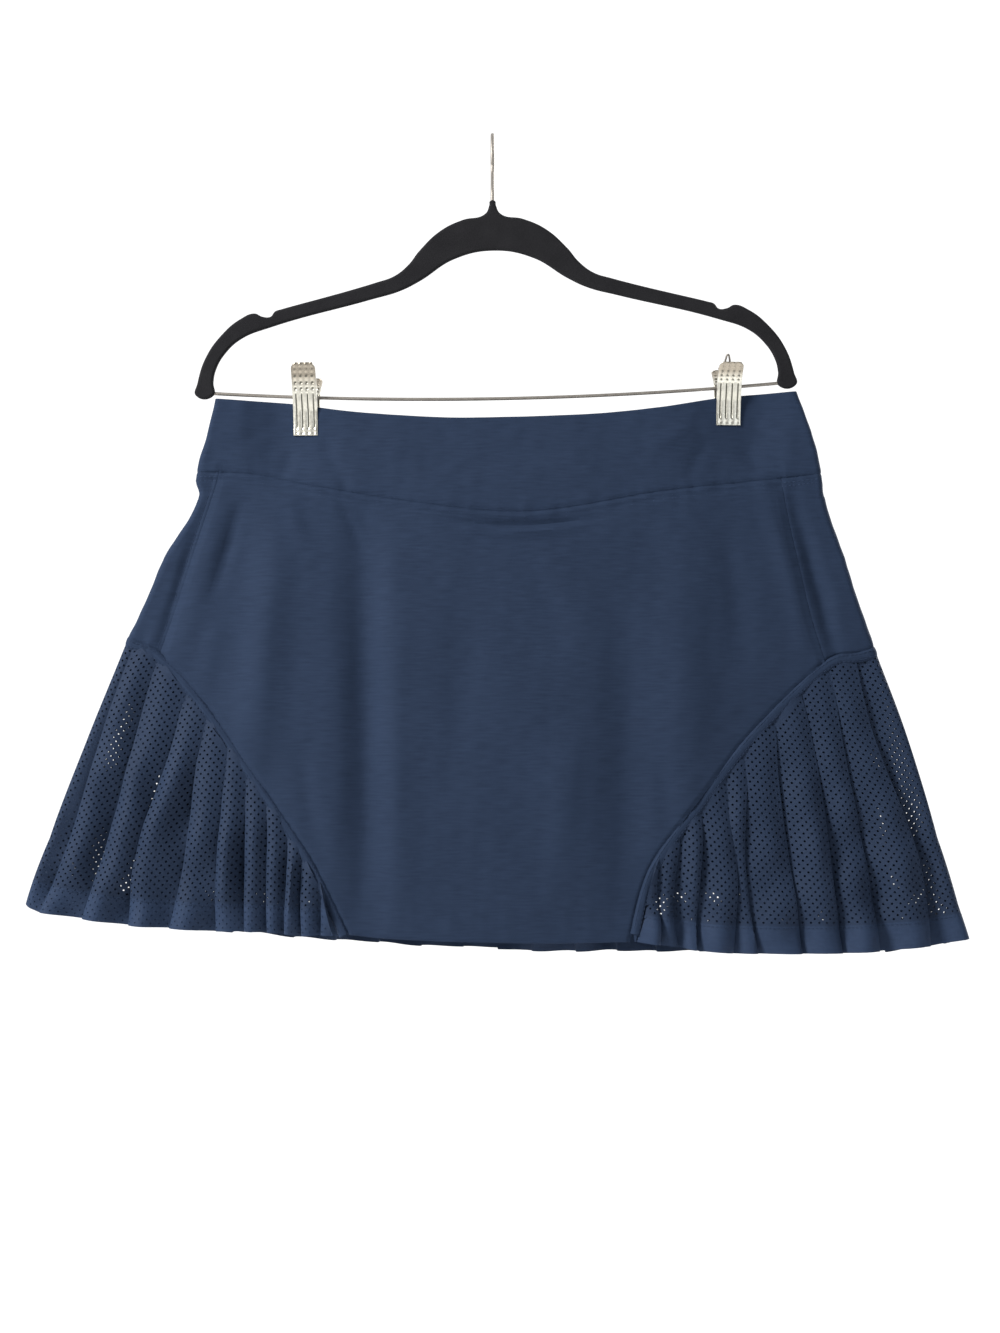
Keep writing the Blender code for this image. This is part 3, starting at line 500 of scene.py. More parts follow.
def relief(u, drop, face):
    """How far the jersey stands out of the tube: its creases, soft waves, and the dips and
    puckers of its seams. It is the same from both sides of a seam."""
    side = np.where(u < 0, LEFT, RIGHT)
    middle = mid_fold(drop, side)
    past = np.abs(u) > np.abs(middle)
    x = np.where(past, 2 * middle - u, u)
    calm = ease(np.abs(middle - u), 0, 25 * MM)
    out = sum(height * ripple(x, drop, length, seed) for height, length, seed in WAVES)
    for one_face, table in ((FRONT, FRONT_CREASES), (BACK, BACK_CREASES)):
        here = np.where(past, -face, face) == one_face
        shaped = creased(table, x, drop)
        for number, (line, depth, width) in enumerate(GROOVES[one_face]):
            distance, along = line.near(x, drop)
            pucker = ripple(along, along * 0, 8 * MM, number)
            shaped = shaped - depth * np.exp(-((distance / width) ** 2))
            shaped = shaped + PUCKER * depth * pucker * np.exp(-distance / PUCKER_REACH)
        out = out + np.where(here, shaped * (0.25 + 0.75 * calm), 0)
    return out


# ---- mesh builders -------------------------------------------------------------------
def link(name, data):
    obj = bpy.data.objects.new(name, data)
    bpy.context.scene.collection.objects.link(obj)
    return obj


def mesh_object(name, points, polygons, flat=None):
    """A mesh from (n, 3) points and a list of index arrays, one array for each polygon size.
    flat gives each point's place on the flat cloth, kept as UV in metres."""
    mesh = bpy.data.meshes.new(name)
    sizes = np.concatenate([np.full(len(p), p.shape[1]) for p in polygons])
    corners = np.concatenate([p.ravel() for p in polygons])
    mesh.vertices.add(len(points))
    mesh.vertices.foreach_set("co", np.asarray(points, np.float32).ravel())
    mesh.loops.add(len(corners))
    mesh.loops.foreach_set("vertex_index", corners.astype(np.int32))
    mesh.polygons.add(len(sizes))
    mesh.polygons.foreach_set("loop_start", (np.cumsum(sizes) - sizes).astype(np.int32))
    mesh.update(calc_edges=True)
    mesh.shade_smooth()
    if flat is not None:
        layer = mesh.uv_layers.new(name="Flat")
        layer.data.foreach_set("uv", flat[corners].astype(np.float32).ravel())
    return link(name, mesh)


def grid(name, across, up, place, flip=False):
    """An open sheet, with place(a, b) giving its points and their places on the flat cloth."""
    a, b = np.meshgrid(across, up)
    points, flat = place(a, b)
    index = np.arange(a.size).reshape(a.shape)
    quads = [index[:-1, :-1], index[:-1, 1:], index[1:, 1:], index[1:, :-1]]
    quads = np.stack(quads, -1).reshape(-1, 4)
    if flip:
        quads = quads[:, ::-1]
    return mesh_object(name, points.reshape(-1, 3), [quads], flat.reshape(-1, 2))


def realised(obj):
    """Applies an object's modifiers."""
    depsgraph = bpy.context.evaluated_depsgraph_get()
    obj.data = bpy.data.meshes.new_from_object(
        obj.evaluated_get(depsgraph), preserve_all_data_layers=True, depsgraph=depsgraph
    )
    obj.modifiers.clear()
    return obj


def thicken(obj, wall, rounding=0.0):
    """Gives a sheet its wall, with its edges rounded off."""
    solid = obj.modifiers.new("Wall", "SOLIDIFY")
    solid.thickness = wall
    solid.offset = -1
    solid.use_quality_normals = True
    if rounding:
        bevel = obj.modifiers.new("Edges", "BEVEL")
        bevel.width = rounding
        bevel.segments = 2
        bevel.limit_method = "ANGLE"
        bevel.angle_limit = math.radians(60)
    realised(obj)
    obj.data.set_sharp_from_angle(angle=math.radians(55))
    return obj


def dress(obj, material, slot, *nodes):
    """Gives a piece its material, and lets it stand for CAD nodes."""
    obj.data.materials.clear()
    obj.data.materials.append(material)
    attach(obj, "root")
    if nodes:
        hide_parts(*nodes)
    return obj


# ---- materials -----------------------------------------------------------------------
class Nodes:
    """A small helper that adds nodes to a material or world and links them."""

    def __init__(self, owner, shader="Principled BSDF"):
        owner.use_nodes = True
        self.owner, self.tree = owner, owner.node_tree
        self.shader = self.tree.nodes[shader]

    def add(self, kind, inputs=None, **settings):
        node = self.tree.nodes.new(kind)
        for key, value in settings.items():
            setattr(node, key, value)
        for key, value in (inputs or {}).items():
            self.set(node.inputs[key], value)
        return node

    def set(self, socket, value):
        if isinstance(value, bpy.types.NodeSocket):
            self.tree.links.new(value, socket)
        else:
            socket.default_value = (*value, 1) if socket.type == "RGBA" else value

    def look(self, **values):
        for key, value in values.items():
            self.set(self.shader.inputs[key.replace("_", " ")], value)

    def sized(self, source, scale):
        """Coordinates multiplied by scale, so that a pattern has its real size."""
        inputs = {0: source, 1: scale}
        return self.add("ShaderNodeVectorMath", inputs, operation="MULTIPLY").outputs[0]

    def flat_place(self):
        return self.add("ShaderNodeUVMap", uv_map="Flat").outputs[0]

    def solid_place(self):
        return self.add("ShaderNodeTexCoord").outputs["Object"]

    def noise(self, source, scale, detail=2.0):
        inputs = {"Vector": self.sized(source, scale), "Scale": 1.0, "Detail": detail}
        return self.add("ShaderNodeTexNoise", inputs).outputs["Fac"]

    def math(self, operation, a, b=0.0):
        return self.add("ShaderNodeMath", {0: a, 1: b}, operation=operation).outputs[0]

    def weighted(self, one, weight, other):
        rest = self.math("MULTIPLY", other, 1 - weight)
        return self.math("ADD", self.math("MULTIPLY", one, weight), rest)

    def ranged(self, value, start, end, low=0.0, high=1.0):
        """From low to high while the value goes from start to end."""
        inputs = {"Value": value, "From Min": start, "From Max": end, "To Min": low, "To Max": high}
        return self.add("ShaderNodeMapRange", inputs).outputs[0]

    def blend(self, share, low, high):
        inputs = {"Fac": share, "Color1": low, "Color2": high}
        return self.add("ShaderNodeMixRGB", inputs).outputs[0]

    def bump(self, height, distance, strength=1.0):
        inputs = {"Height": height, "Distance": distance, "Strength": strength}
        return self.add("ShaderNodeBump", inputs).outputs[0]


def new_material(name):
    return Nodes(bpy.data.materials.new(name))


def cloth_material(name, dark, light, wale, course, streak, roughness, sheen, hem=0.0):
    """Knitted cloth: fine ribs and rows of loops, and faint streaks along the rows. Up to the
    height hem it lies double, and looks a little lighter."""
    n = new_material(name)
    flat = n.flat_place()
    clouds = n.noise(flat, (14, 14, 14), 2.0)
    colour = n.blend(n.weighted(n.noise(flat, streak, 3.0), 0.75, clouds), dark, light)
    x, height, _ = n.add("ShaderNodeSeparateXYZ", {0: flat}).outputs
    if hem:
        inputs = {0: colour, "Scale": n.ranged(height, hem, hem + 0.5 * MM, HEM_LIGHTER, 1.0)}
        colour = n.add("ShaderNodeVectorMath", inputs, operation="SCALE").outputs[0]
    n.look(Base_Color=colour)
    ribs = n.math("SINE", n.math("MULTIPLY", x, math.tau / wale))
    rows = n.math("SINE", n.math("MULTIPLY", height, math.tau / course))
    loops = n.math("MULTIPLY", n.math("ADD", ribs, 1.4), n.math("ADD", rows, 1.4))
    loops = n.math("ADD", loops, n.math("MULTIPLY", n.noise(flat, (900, 900, 900)), 3.0))
    n.look(Normal=n.bump(loops, 0.02 * MM, 0.8))
    n.look(Roughness=roughness, Specular_IOR_Level=0.07)
    n.look(Sheen_Weight=sheen, Sheen_Roughness=0.5, Sheen_Tint=(0.35, 0.50, 0.85))
    return n.owner


def velvet_material():
    """Black flocking: a fine nap that catches light at grazing angles."""
    n = new_material("black_velvet_look")
    place = n.solid_place()
    nap = n.noise(place, (1500, 1500, 1500), 3.0)
    share = n.weighted(nap, 0.6, n.noise(place, (60, 60, 60), 3.0))
    n.look(Base_Color=n.blend(share, (0.0015, 0.0015, 0.002), (0.012, 0.012, 0.0135)))
    n.look(Normal=n.bump(nap, 0.25 * MM, 0.7))
    n.look(Roughness=1.0, Specular_IOR_Level=0.08)
    n.look(Sheen_Weight=0.06, Sheen_Roughness=0.35, Sheen_Tint=(0.75, 0.78, 0.9))
    return n.owner


def steel_material():
    """Dull steel wire with faint blotches and fine scratches."""
    n = new_material("bar_steel_look")
    place = n.solid_place()
    blotches = n.noise(place, (160, 160, 160), 3.0)
    scratches = n.noise(place, (200, 1200, 1200), 2.0)
    n.look(Base_Color=n.blend(blotches, (0.125, 0.115, 0.104), (0.20, 0.187, 0.170)))
    n.look(Metallic=1.0, Roughness=n.math("ADD", n.math("MULTIPLY", scratches, 0.12), 0.50))
    n.look(Normal=n.bump(scratches, 0.02 * MM, 0.12))
    return n.owner


def plate_material():
    """Pressed nickel plate with faint blotches, and painted shade in the grooves between its
    ribs and in its dimples; darker and browner towards the finger tabs."""
    n = new_material("clip_plate_look")
    flat = n.flat_place()
    x, z, _ = n.add("ShaderNodeSeparateXYZ", {0: flat}).outputs
    blotches = n.noise(flat, (420, 420, 1), 3.0)
    base = n.blend(blotches, (0.42, 0.41, 0.36), (0.66, 0.645, 0.575))
    turns = n.math("ADD", n.math("MULTIPLY", x, 1 / RIB_PITCH), 0.5)
    column = n.math("COSINE", n.math("MULTIPLY", turns, math.tau))
    rows_up = n.math("ADD", z, -DIMPLE_ROWS[0])
    row = n.math("COSINE", n.math("MULTIPLY", rows_up, math.tau / (DIMPLE_ROWS[1] - DIMPLE_ROWS[0])))
    low, high = RIB_ENDS
    ribbed = n.math("MULTIPLY", n.ranged(z, low, low + MM), n.ranged(z, high, high - MM))
    # painted shade: the narrow grooves between the ribs, and the dimples, are darkened in colour for
    # the shade that falls in them
    groove_shade = n.math("MULTIPLY", n.ranged(column, 0.62, 0.90), ribbed)
    dimple_shade = n.ranged(n.math("ADD", column, row), 0.9, 1.6)
    dimple_shade = n.math("MULTIPLY", dimple_shade, n.ranged(z, 4 * MM, 5 * MM))
    dimple_shade = n.math("MULTIPLY", dimple_shade, n.ranged(z, 17 * MM, 15 * MM))
    # the painted shade of the grooves and the dimples together
    painted_shade = n.math("MAXIMUM", groove_shade, n.math("MULTIPLY", dimple_shade, 0.9))
    # darker and browner towards the finger tabs, above the bar
    darker_to_tabs = n.math("MULTIPLY", n.ranged(z, 4 * MM, 15 * MM), 0.9)
    colour = n.blend(darker_to_tabs, base, (0.205, 0.178, 0.142))
    # blends towards near-black where the painted shade lies
    n.look(Base_Color=n.blend(painted_shade, colour, (0.085, 0.083, 0.070)), Metallic=1.0)
    n.look(Roughness=n.math("ADD", n.math("MULTIPLY", blotches, 0.16), 0.24))
    return n.owner


def thread_material(name, dark, light):
    n = new_material(name)
    twist = n.noise(n.solid_place(), (2500, 2500, 2500), 1.0)
    n.look(Base_Color=n.blend(twist, dark, light))
    n.look(Normal=n.bump(twist, 0.05 * MM, 0.5))
    n.look(Roughness=0.8, Specular_IOR_Level=0.1)
    return n.owner


JERSEY = cloth_material(
    "navy_jersey_look", (0.0036, 0.0074, 0.0172), (0.0122, 0.0210, 0.0424),
    0.75 * MM, 0.60 * MM, (70, 760, 1), 0.82, 0.03,
)
MESH = cloth_material(
    "navy_mesh_look", (0.0050, 0.0094, 0.0206), (0.0104, 0.0182, 0.0376),
    0.80 * MM, 0.50 * MM, (200, 500, 1), 0.66, 0.03, HEM_BAND,
)
THREAD = thread_material("navy_thread_look", (0.007, 0.0125, 0.027), (0.014, 0.024, 0.049))
BAND_THREAD = thread_material("band_thread_look", (0.011, 0.019, 0.039), (0.021, 0.034, 0.068))
VELVET = velvet_material()
PLATE = plate_material()
STEEL = steel_material()


# ---- jersey panels -------------------------------------------------------------------
def sewn(obj, node, wall=JERSEY_WALL, rounding=0.3 * MM):
    """Gives a jersey piece its wall and its material, in place of its CAD part."""
    thicken(obj, wall, rounding)
    dress(obj, JERSEY, JERSEY_SLOT, node)


def on_tube(places, face, rise=0.0):
    """Turns a place function's (u, drop) into points on the relief and their flat places."""

    def place(a, b):
        u, drop = places(a, b)
        return lifted(u, drop, face, relief(u, drop, face) + rise), np.stack([u, -drop], -1)

    return place


def between(heights, left_x, right_x):
    """Places across a panel: heights are (b, line) pairs from its low edge to its top one,
    left_x and right_x its sides' x at a drop."""

    def places(a, b):
        drop = np.full(a.shape, 0.2)
        for _ in range(10):
            left, right = left_x(drop), right_x(drop)
            x = left + (right - left) * a
            levels = [(share, line(x)) for share, line in heights]
            drop = levels[-1][1]
            for (low, here), (high, above) in zip(levels, levels[1:]):
                inside = (b >= low) & (b <= high)
                drop = np.where(inside, here + (above - here) * (b - low) / (high - low), drop)
        return x, drop

    return places


def waistband(name, face):
    """Half the waistband, from one side fold's middle to the other's, folded double."""

    def places(a, b):
        drop = np.full(a.shape, 0.03)
        for _ in range(5):
            left, right = mid_fold(drop, LEFT), mid_fold(drop, RIGHT)
            u = left + (right - left) * a
            low = BAND_SEAM.drop_at(u)
            drop = low + (TOP_EDGE.drop_at(u) - low) * b
        return u, drop

    across, up = fine_ends(164, extra=8), np.linspace(0, 1, 32)
    obj = grid(name + "_cloth", across, up, on_tube(places, face, 0.25 * MM), flip=face == BACK)
    sewn(obj, name, BAND_WALL, 0.5 * MM)


CORNER_ROW = 0.62  # where the front panel's side seams end, as a share of its height
TUCK = 1.5 * MM  # how far a panel's edge runs on under the piece sewn over it


def under_band(x):
    """The edge of a panel that runs on above its seam, under the waistband."""
    return BAND_SEAM.drop_at(x) - TUCK


def front_places():
    def edge(side):
        corner = CORNERS[side][1] * MM
        seam, sweep = SIDE_SEAMS[side], SWEEPS[side]
        return lambda drop: np.where(drop < corner, seam.x_at(drop), sweep.x_at(drop))

    level = Line(CORNERS[LEFT], CORNERS[RIGHT])
    heights = [(0, FRONT_HEM.drop_at), (CORNER_ROW, level.drop_at), (1, under_band)]
    return between(heights, edge(LEFT), edge(RIGHT))


def fine_ends(count, share=0.03, extra=6):
    """Shares from 0 to 1, closer together near both ends."""
    ends = np.linspace(0, share, extra + 1)
    return np.concatenate([ends[:-1], np.linspace(share, 1 - share, count), 1 - ends[::-1][1:]])


# A panel's columns, which run on a little past its side seams.
PANEL_COLUMNS = 1.006 * fine_ends(118) - 0.003


def front_panel():
    up = np.concatenate([
        np.linspace(0, CORNER_ROW, 62)[:-1], np.linspace(CORNER_ROW, 0.97, 40)[:-1],
        np.linspace(0.97, 1, 8),
    ])
    obj = grid("front_panel_cloth", PANEL_COLUMNS, up, on_tube(front_places(), FRONT, 0.35 * MM))
    sewn(obj, "front_panel")


def back_panel():
    heights = [(0, BACK_SEAM.beside(TUCK).drop_at), (1, under_band)]
    places = between(heights, SIDE_SEAMS[LEFT].x_at, SIDE_SEAMS[RIGHT].x_at)
    place = on_tube(places, BACK, 0.35 * MM)
    obj = grid("back_panel_cloth", PANEL_COLUMNS, fine_ends(44), place, flip=True)
    sewn(obj, "back_panel")


def side_panel(name, side):
    """Wraps a side fold, from the front side seam to the back one."""
    front_low, back_low = SWEEPS[side].beside(TUCK), BACK_SEAM.beside(TUCK)

    def places(a, b):
        drop = np.full(a.shape, 0.12)
        for _ in range(8):
            middle = mid_fold(drop, side)
            start = SIDE_SEAMS[side].x_at(drop)
            turn = section_at(SECTIONS, drop).fold * math.pi / 2
            stops = [start, middle - side * turn, middle, middle + side * turn, 2 * middle - start]
            u = stops[-1]
            for number in range(4):
                share = a - number
                between_two = stops[number] + (stops[number + 1] - stops[number]) * share
                u = np.where((share >= 0) & (share <= 1), between_two, u)
            x = np.where(a < 2, u, 2 * middle - u)
            low = np.where(a <= 2, front_low.drop_at(x), back_low.drop_at(x))
            drop = low + (under_band(x) - low) * b
        return u, drop

    flat = np.linspace(0, 1, 18)[:-1]
    turn = np.linspace(0, 1, 7)[:-1]
    across = np.concatenate([flat, 1 + turn, 2 + turn, 3 + flat, [4]])
    obj = grid(name + "_cloth", across, fine_ends(50), on_tube(places, FRONT), flip=side == LEFT)
    flat, area = ((0.066, 0.126), 0.0058) if side == LEFT else ((0.092, 0.131), 0.0103)
    sewn(obj, name)


def shorts_places(side, a, b):
    """Points and flat places of one half of the inner shorts."""
    seam_gap = 0.1 * MM
    top = BAND_SEAM.drop_at(side * 0.1) + 2 * MM
    drop = SHORTS_HEM + (top - SHORTS_HEM) * b
    row = section_at(SHORTS_SECTIONS, drop)
    outer = row.left if side == LEFT else row.right
    centre = (row.left + row.right) / 2
    half = (row.right - row.left) / 2 - row.fold
    start = SHORTS_MIDDLE + side * seam_gap - centre
    reach = side * (half + row.fold * math.pi / 2)
    u = start + (2 * reach - 2 * start) * a
    body_x, body_y = ring(u, half, row.fold, row.front, row.back, FRONT)
    body_x = body_x + centre
    spread = LEG_SPREAD * ease(drop, CROTCH_DROP, SHORTS_HEM)
    inner = SHORTS_MIDDLE + side * (2 * MM + spread)
    centre, half = (outer + inner) / 2, np.abs(outer - inner) / 2 - row.fold
    reach = half + row.fold * math.pi / 2
    u = side * (-reach + seam_gap + (4 * reach - 2 * seam_gap) * a)
    leg_x, leg_y = ring(u, half, row.fold, LEG_DEPTH, LEG_DEPTH, FRONT)
    leg_x = leg_x + centre
    share = ease(drop, CROTCH_DROP - 0.035, CROTCH_DROP + 0.01)
    x = body_x + (leg_x - body_x) * share
    y = body_y + (leg_y - body_y) * share
    y = y + 0.5 * MM * ripple(x, drop, 60 * MM, 11) * np.sign(y) * np.minimum(1, np.abs(y) / (6 * MM))
    return np.stack([x, y + sway(x, drop), WAIST_Z - drop], -1), np.stack([u, -drop], -1)


def shorts_half(name, side):
    turn = np.linspace(0, 0.0075, 6)[:-1]
    flat = np.linspace(0.0075, 0.4925, 40)
    half = np.concatenate([turn, flat, 0.5 - turn[:0:-1]])
    across = np.concatenate([half, [0.5], 1 - half[::-1]])
    places = lambda a, b: shorts_places(side, a, b)
    obj = grid(name + "_cloth", across, np.linspace(0, 1, 32), places, flip=side == LEFT)
    sewn(obj, name)


# ---- perforated, pleated flounces ----------------------------------------------------
class Pleats:
    """A run of knife pleats in one flat cloth, s across it from its outer end and t up from
    its hem. Each face runs from its front fold to under the next fold, and turns back to it."""

    def __init__(self, seam, hem, pleating, seed):
        """seam and hem are the (u, drop) of each fold, the run's two ends among them."""
        random = np.random.default_rng(seed)
        self.hem = np.array(hem)
        rise = np.array(seam) - self.hem
        self.top = np.linalg.norm(rise, axis=1)
        self.up = rise / self.top[:, None]
        wide = (np.abs(np.diff(self.hem[:, 0])) + np.linalg.norm(np.diff(seam, axis=0), axis=1)) / 2
        wide = (wide + np.abs(np.diff(self.hem[:, 0]))) / 2
        outer = np.abs(self.hem[:-1, 0]) > SIDE_PLEATS
        full = np.where(outer, pleating.side_fullness, pleating.fullness)
        full[-1] = END_FULLNESS
        self.widths = HOLE_PITCH * np.maximum(2, np.round(full * wide / HOLE_PITCH))
        self.starts = np.concatenate([[0], np.cumsum(self.widths)])
        self.total = self.starts[-1]
        folds = len(hem)
        reach = self.top / self.top.max()
        self.drift = random.normal(0, pleating.stray, folds) * reach
        self.drift_twice = random.normal(0, 0.7 * pleating.stray, folds) * reach
        self.seam_height = random.uniform(*SEAM_HEIGHTS, folds)
        self.hem_height = random.uniform(pleating.low, pleating.high, folds) * (0.60 + 0.40 * reach)
        self.swell, self.phase = random.uniform(*SWELLS, folds), random.uniform(0, 1, folds)
        for table in (self.drift, self.drift_twice, self.seam_height, self.hem_height):
            table[[0, -1]] = 0

    def fold(self, i, t):
        share = np.clip(t / self.top[i], 0, 1.1)
        aside = self.drift[i] * np.sin(math.pi * share)
        aside = aside + self.drift_twice[i] * np.sin(math.tau * share)
        place = self.hem[i] + self.up[i] * t[..., None]
        place[..., 0] += aside
        return place

    def gap(self, i, t):
        return np.linalg.norm(self.fold(i + 1, t) - self.fold(i, t), axis=-1)

    def height(self, i, t):
        """How far fold i stands out at t, no more than its cloth allows."""
        share = np.clip(t / self.top[i], 0, 1)
        wish = self.seam_height[i] + (self.hem_height[i] - self.seam_height[i]) * (1 - share**2.2)
        wish = wish * (1 + self.swell[i] * np.sin(math.tau * (share * 1.3 + self.phase[i])))
        last = len(self.widths) - 1
        for strip in (np.clip(i - 1, 0, last), np.clip(i, 0, last)):
            width = self.widths[strip]
            spare = (width**2 - self.gap(strip, t) ** 2) / (2 * width)
            wish = np.minimum(wish, 0.9 * np.maximum(spare, 0))
        return wish

    def across(self, i, t, walked):
        """(share of the way to the next fold, stand-off) at walked along strip i."""
        width, gap = self.widths[i], np.maximum(self.gap(i, t), 1e-5)
        a, b = self.height(i, t), self.height(i + 1, t)
        m = gap / width
        k = (width - (gap**2 + a**2 - b**2) / width) / 2
        under = (-k * m + np.sqrt(np.maximum(k**2 - (1 - m**2) * b**2, 0))) / np.maximum(1 - m**2, 1e-4)
        under = np.clip(under, 0, width)
        face, back = np.hypot(gap + under, a), np.hypot(under, b) + 1e-9
        walked = walked * (face + back) / width
        on_face = walked <= face
        done, turned = walked / face, (walked - face) / back
        run = np.where(on_face, (gap + under) * done, gap + under - under * turned)
        rise = TUCKED_FOLD + (1 - TUCKED_FOLD) * ease(done, 0, BULGE)
        over = a * rise * (1 - ease(done, BULGE, ROLL))
        return run / gap, np.where(on_face, over, TUCKED_FOLD * b * np.maximum(turned, 0) ** 1.5)

    def seam_at(self, s):
        """The cloth's height at s."""
        i = self.strip(s)
        share, _ = self.across(i, self.top[i], s - self.starts[i])
        return self.top[i] + (self.top[i + 1] - self.top[i]) * share

    def strip(self, s):
        return np.clip(np.searchsorted(self.starts, s, side="right") - 1, 0, len(self.widths) - 1)

    def places(self, s, t):
        """(u, drop, stand-off) at s and t, the folds rounded more towards the hem."""
        share = np.clip(t / np.maximum(self.seam_at(s), 1e-4), 0, 1)
        rounding = (4.2 - 3.5 * share**0.8) * MM
        total = 0
        for shift in (-1, -0.6, -0.2, 0.2, 0.6, 1):
            near = np.clip(s + shift * rounding, 0, self.total)
            i = self.strip(near)
            run, off = self.across(i, t, near - self.starts[i])
            here, after = self.fold(i, t), self.fold(i + 1, t)
            place = here + (after - here) * run[..., None]
            total = total + np.concatenate([place, off[..., None]], -1) / 6
        u, drop, off = np.moveaxis(total, -1, 0)
        inside = ease(s, 0, 25 * MM) * ease(self.total - s, 5 * MM, 70 * MM)
        at_seam, at_hem = RUN_DEPTH
        base = -(at_hem + (at_seam - at_hem) * share) * (0.25 + 0.75 * inside)
        soft = SOFT_PLEATS * ripple(u, drop, 45 * MM, 21) * np.clip(s / (20 * MM), 0, 1)
        return u, drop, base + off + soft * (1 - share**2)


def cloth_points(pleats, face, s, t):
    u, drop, off = pleats.places(s, t)
    return lifted(u, drop, face, off)


def perforated(node, pleats, face, flip):
    """The run's cloth: diamond cells, each with a small hole, and a plain edge all round."""
    step = HOLE_PITCH / 2
    columns = round(pleats.total / step)
    rows = int(pleats.top.max() / step) + 2
    k, i = np.mgrid[0 : rows + 1, 0 : columns + 1]
    wanted = ((i + k) % 2 == 0) & (k * step < pleats.seam_at(i * step) + 0.3 * step)
    i, k = i[wanted], k[wanted]
    ways = [(1, 0), (0, 1), (-1, 0), (0, -1)]
    ids = np.stack([(k + dk + 1) * (columns + 3) + i + di + 1 for di, dk in ways], -1)
    used, corners = np.unique(ids, return_inverse=True)
    corners = corners.reshape(ids.shape)
    corner_s = np.clip(used % (columns + 3) - 1, 0, columns) * step
    limit = pleats.seam_at(corner_s)
    corner_t = (used // (columns + 3) - 1) * step
    too_high = corner_t > limit - 0.5 * MM
    corner_t = np.clip(corner_t, 0, np.maximum(limit, 0))
    open_cell = (i > 0) & (i < columns) & (k > 0) & ~too_high[corners].any(axis=1)
    if not PLEATING[node].hem_holes:
        open_cell &= k * step > HEM_BAND
    centre_s, centre_t = i[open_cell] * step, k[open_cell] * step
    radius = np.where(centre_t < HEM_BAND, HEM_HOLE_RADIUS, HOLE_RADIUS)
    angles = np.radians(HOLE_ANGLES[face])
    hole_s = centre_s[:, None] + radius[:, None] * np.cos(angles)
    hole_t = centre_t[:, None] + radius[:, None] * np.sin(angles)
    hole = len(used) + np.arange(hole_s.size).reshape(hole_s.shape)
    right, top, left, low = corners[open_cell].T
    if face == FRONT:
        north, east, east_low, south, west_low, west = hole.T
    else:
        north, east, south, west = hole.T
        east_low, west_low = east, west
    quads = [
        (right, top, north, east), (low, right, east_low, south), (left, low, south, west_low),
        (top, left, west, north),
    ]
    triangles = [(right, east, east_low), (left, west_low, west)]
    triangles = np.concatenate([np.stack(t, -1) for t in triangles])
    if face == BACK:
        triangles = triangles[:0]
    quads = np.concatenate([np.stack(q, -1) for q in quads] + [corners[~open_cell]])
    if flip:
        quads, triangles = quads[:, ::-1], triangles[:, ::-1]
    s = np.concatenate([corner_s, hole_s.ravel()])
    t = np.concatenate([corner_t, hole_t.ravel()])
    points = cloth_points(pleats, face, s, t)
    obj = mesh_object(node + "_cloth", points, [quads, triangles], np.stack([s, t], -1))
    return thicken(obj, MESH_WALL)


def hem_facing(name, pleats, face, flip):
    """The hem's turned-up layer, just inside the cloth."""
    columns = round(pleats.total / HOLE_PITCH) * 3

    def place(a, b):
        s = a * pleats.total
        top = np.maximum(np.minimum(HEM_BAND, pleats.seam_at(s) - 1 * MM), 1 * MM)
        t = 0.3 * MM + b * (top - 0.3 * MM)
        return cloth_points(pleats, face, s, t), np.stack([s, t], -1)

    obj = grid(name, np.linspace(0, 1, columns + 1), np.linspace(0, 1, 7), place, flip)
    normals = np.zeros(len(obj.data.vertices) * 3, np.float32)
    points = normals.copy()
    obj.data.vertices.foreach_get("normal", normals)
    obj.data.vertices.foreach_get("co", points)
    obj.data.vertices.foreach_set("co", points - normals * (MESH_WALL + 0.15 * MM))
    obj.data.update()
    return thicken(obj, MESH_WALL)


def flounce(node, folds, end, seam, hem, face, side, seed):
    """A pleated flounce from a side fold's middle inwards, hung from just under the binding."""
    top_line = seam.beside(2.5 * MM)
    random = np.random.default_rng(seed)

    def at_fold(line):
        drop = 0.3
        for _ in range(8):
            u = mid_fold(drop, side)
            drop = line.drop_at(u)
        return u, drop

    seam_spots, hem_spots = [at_fold(top_line)], [at_fold(hem)]
    for fold in folds + [end]:
        seam_spots.append((fold.seam_x, top_line.drop_at(fold.seam_x)))
        uneven = random.uniform(-1.0, 1.0) * MM
        hem_spots.append((fold.hem_x, hem.drop_at(fold.hem_x) + uneven))
    pleats = Pleats(seam_spots, hem_spots, PLEATING[node], seed)
    flip = (side == RIGHT) != (face == BACK)
    obj = dress(perforated(node, pleats, face, flip), MESH, MESH_SLOT, node)
    facing = hem_facing(node.replace("flounce", "hem") + "_facing", pleats, face, flip)
    dress(facing, MESH, MESH_SLOT, node)
    return obj, facing, pleats


def declare_flounce(pleats):
    """Reads the flounce's height above the hem's fold, which is less towards one end, along its
    whole width before pleating. Nothing is done with it."""
    s = np.linspace(0, pleats.total, 400)
    heights = pleats.seam_at(s)


def front_flounce(name, side):
    seam = SWEEPS[side]
    inner = seam.beside(BINDING_WIDTH - 2 * MM)
    end = Pleat(inner.x_at(0.380), inner.x_at(0.391))
    seed = 31 if side == LEFT else 32
    return flounce(name, FRONT_PLEATS[side], end, seam, SIDE_HEMS[side], FRONT, side, seed)


def back_flounce(name, side):
    half = BACK_PLEATS // 2
    outer, middle = np.array(BACK_FOLDS[1 + side]), BACK_FOLDS[1]
    folds = [Pleat(*(outer + (middle - outer) * i / half)) for i in range(half)]
    seed = 33 if side == LEFT else 34
    return flounce(name, folds, middle, BACK_SEAM, BACK_HEM, BACK, side, seed)


# ---- bindings ------------------------------------------------------------------------
def fold_share(line, side):
    """The share along a line at which the round of a side fold ends."""
    drop = line.drop_at(side * 0.27)
    turn = section_at(SECTIONS, drop).fold * math.pi / 2
    return line.share_at_x(mid_fold(drop, side) - side * turn)


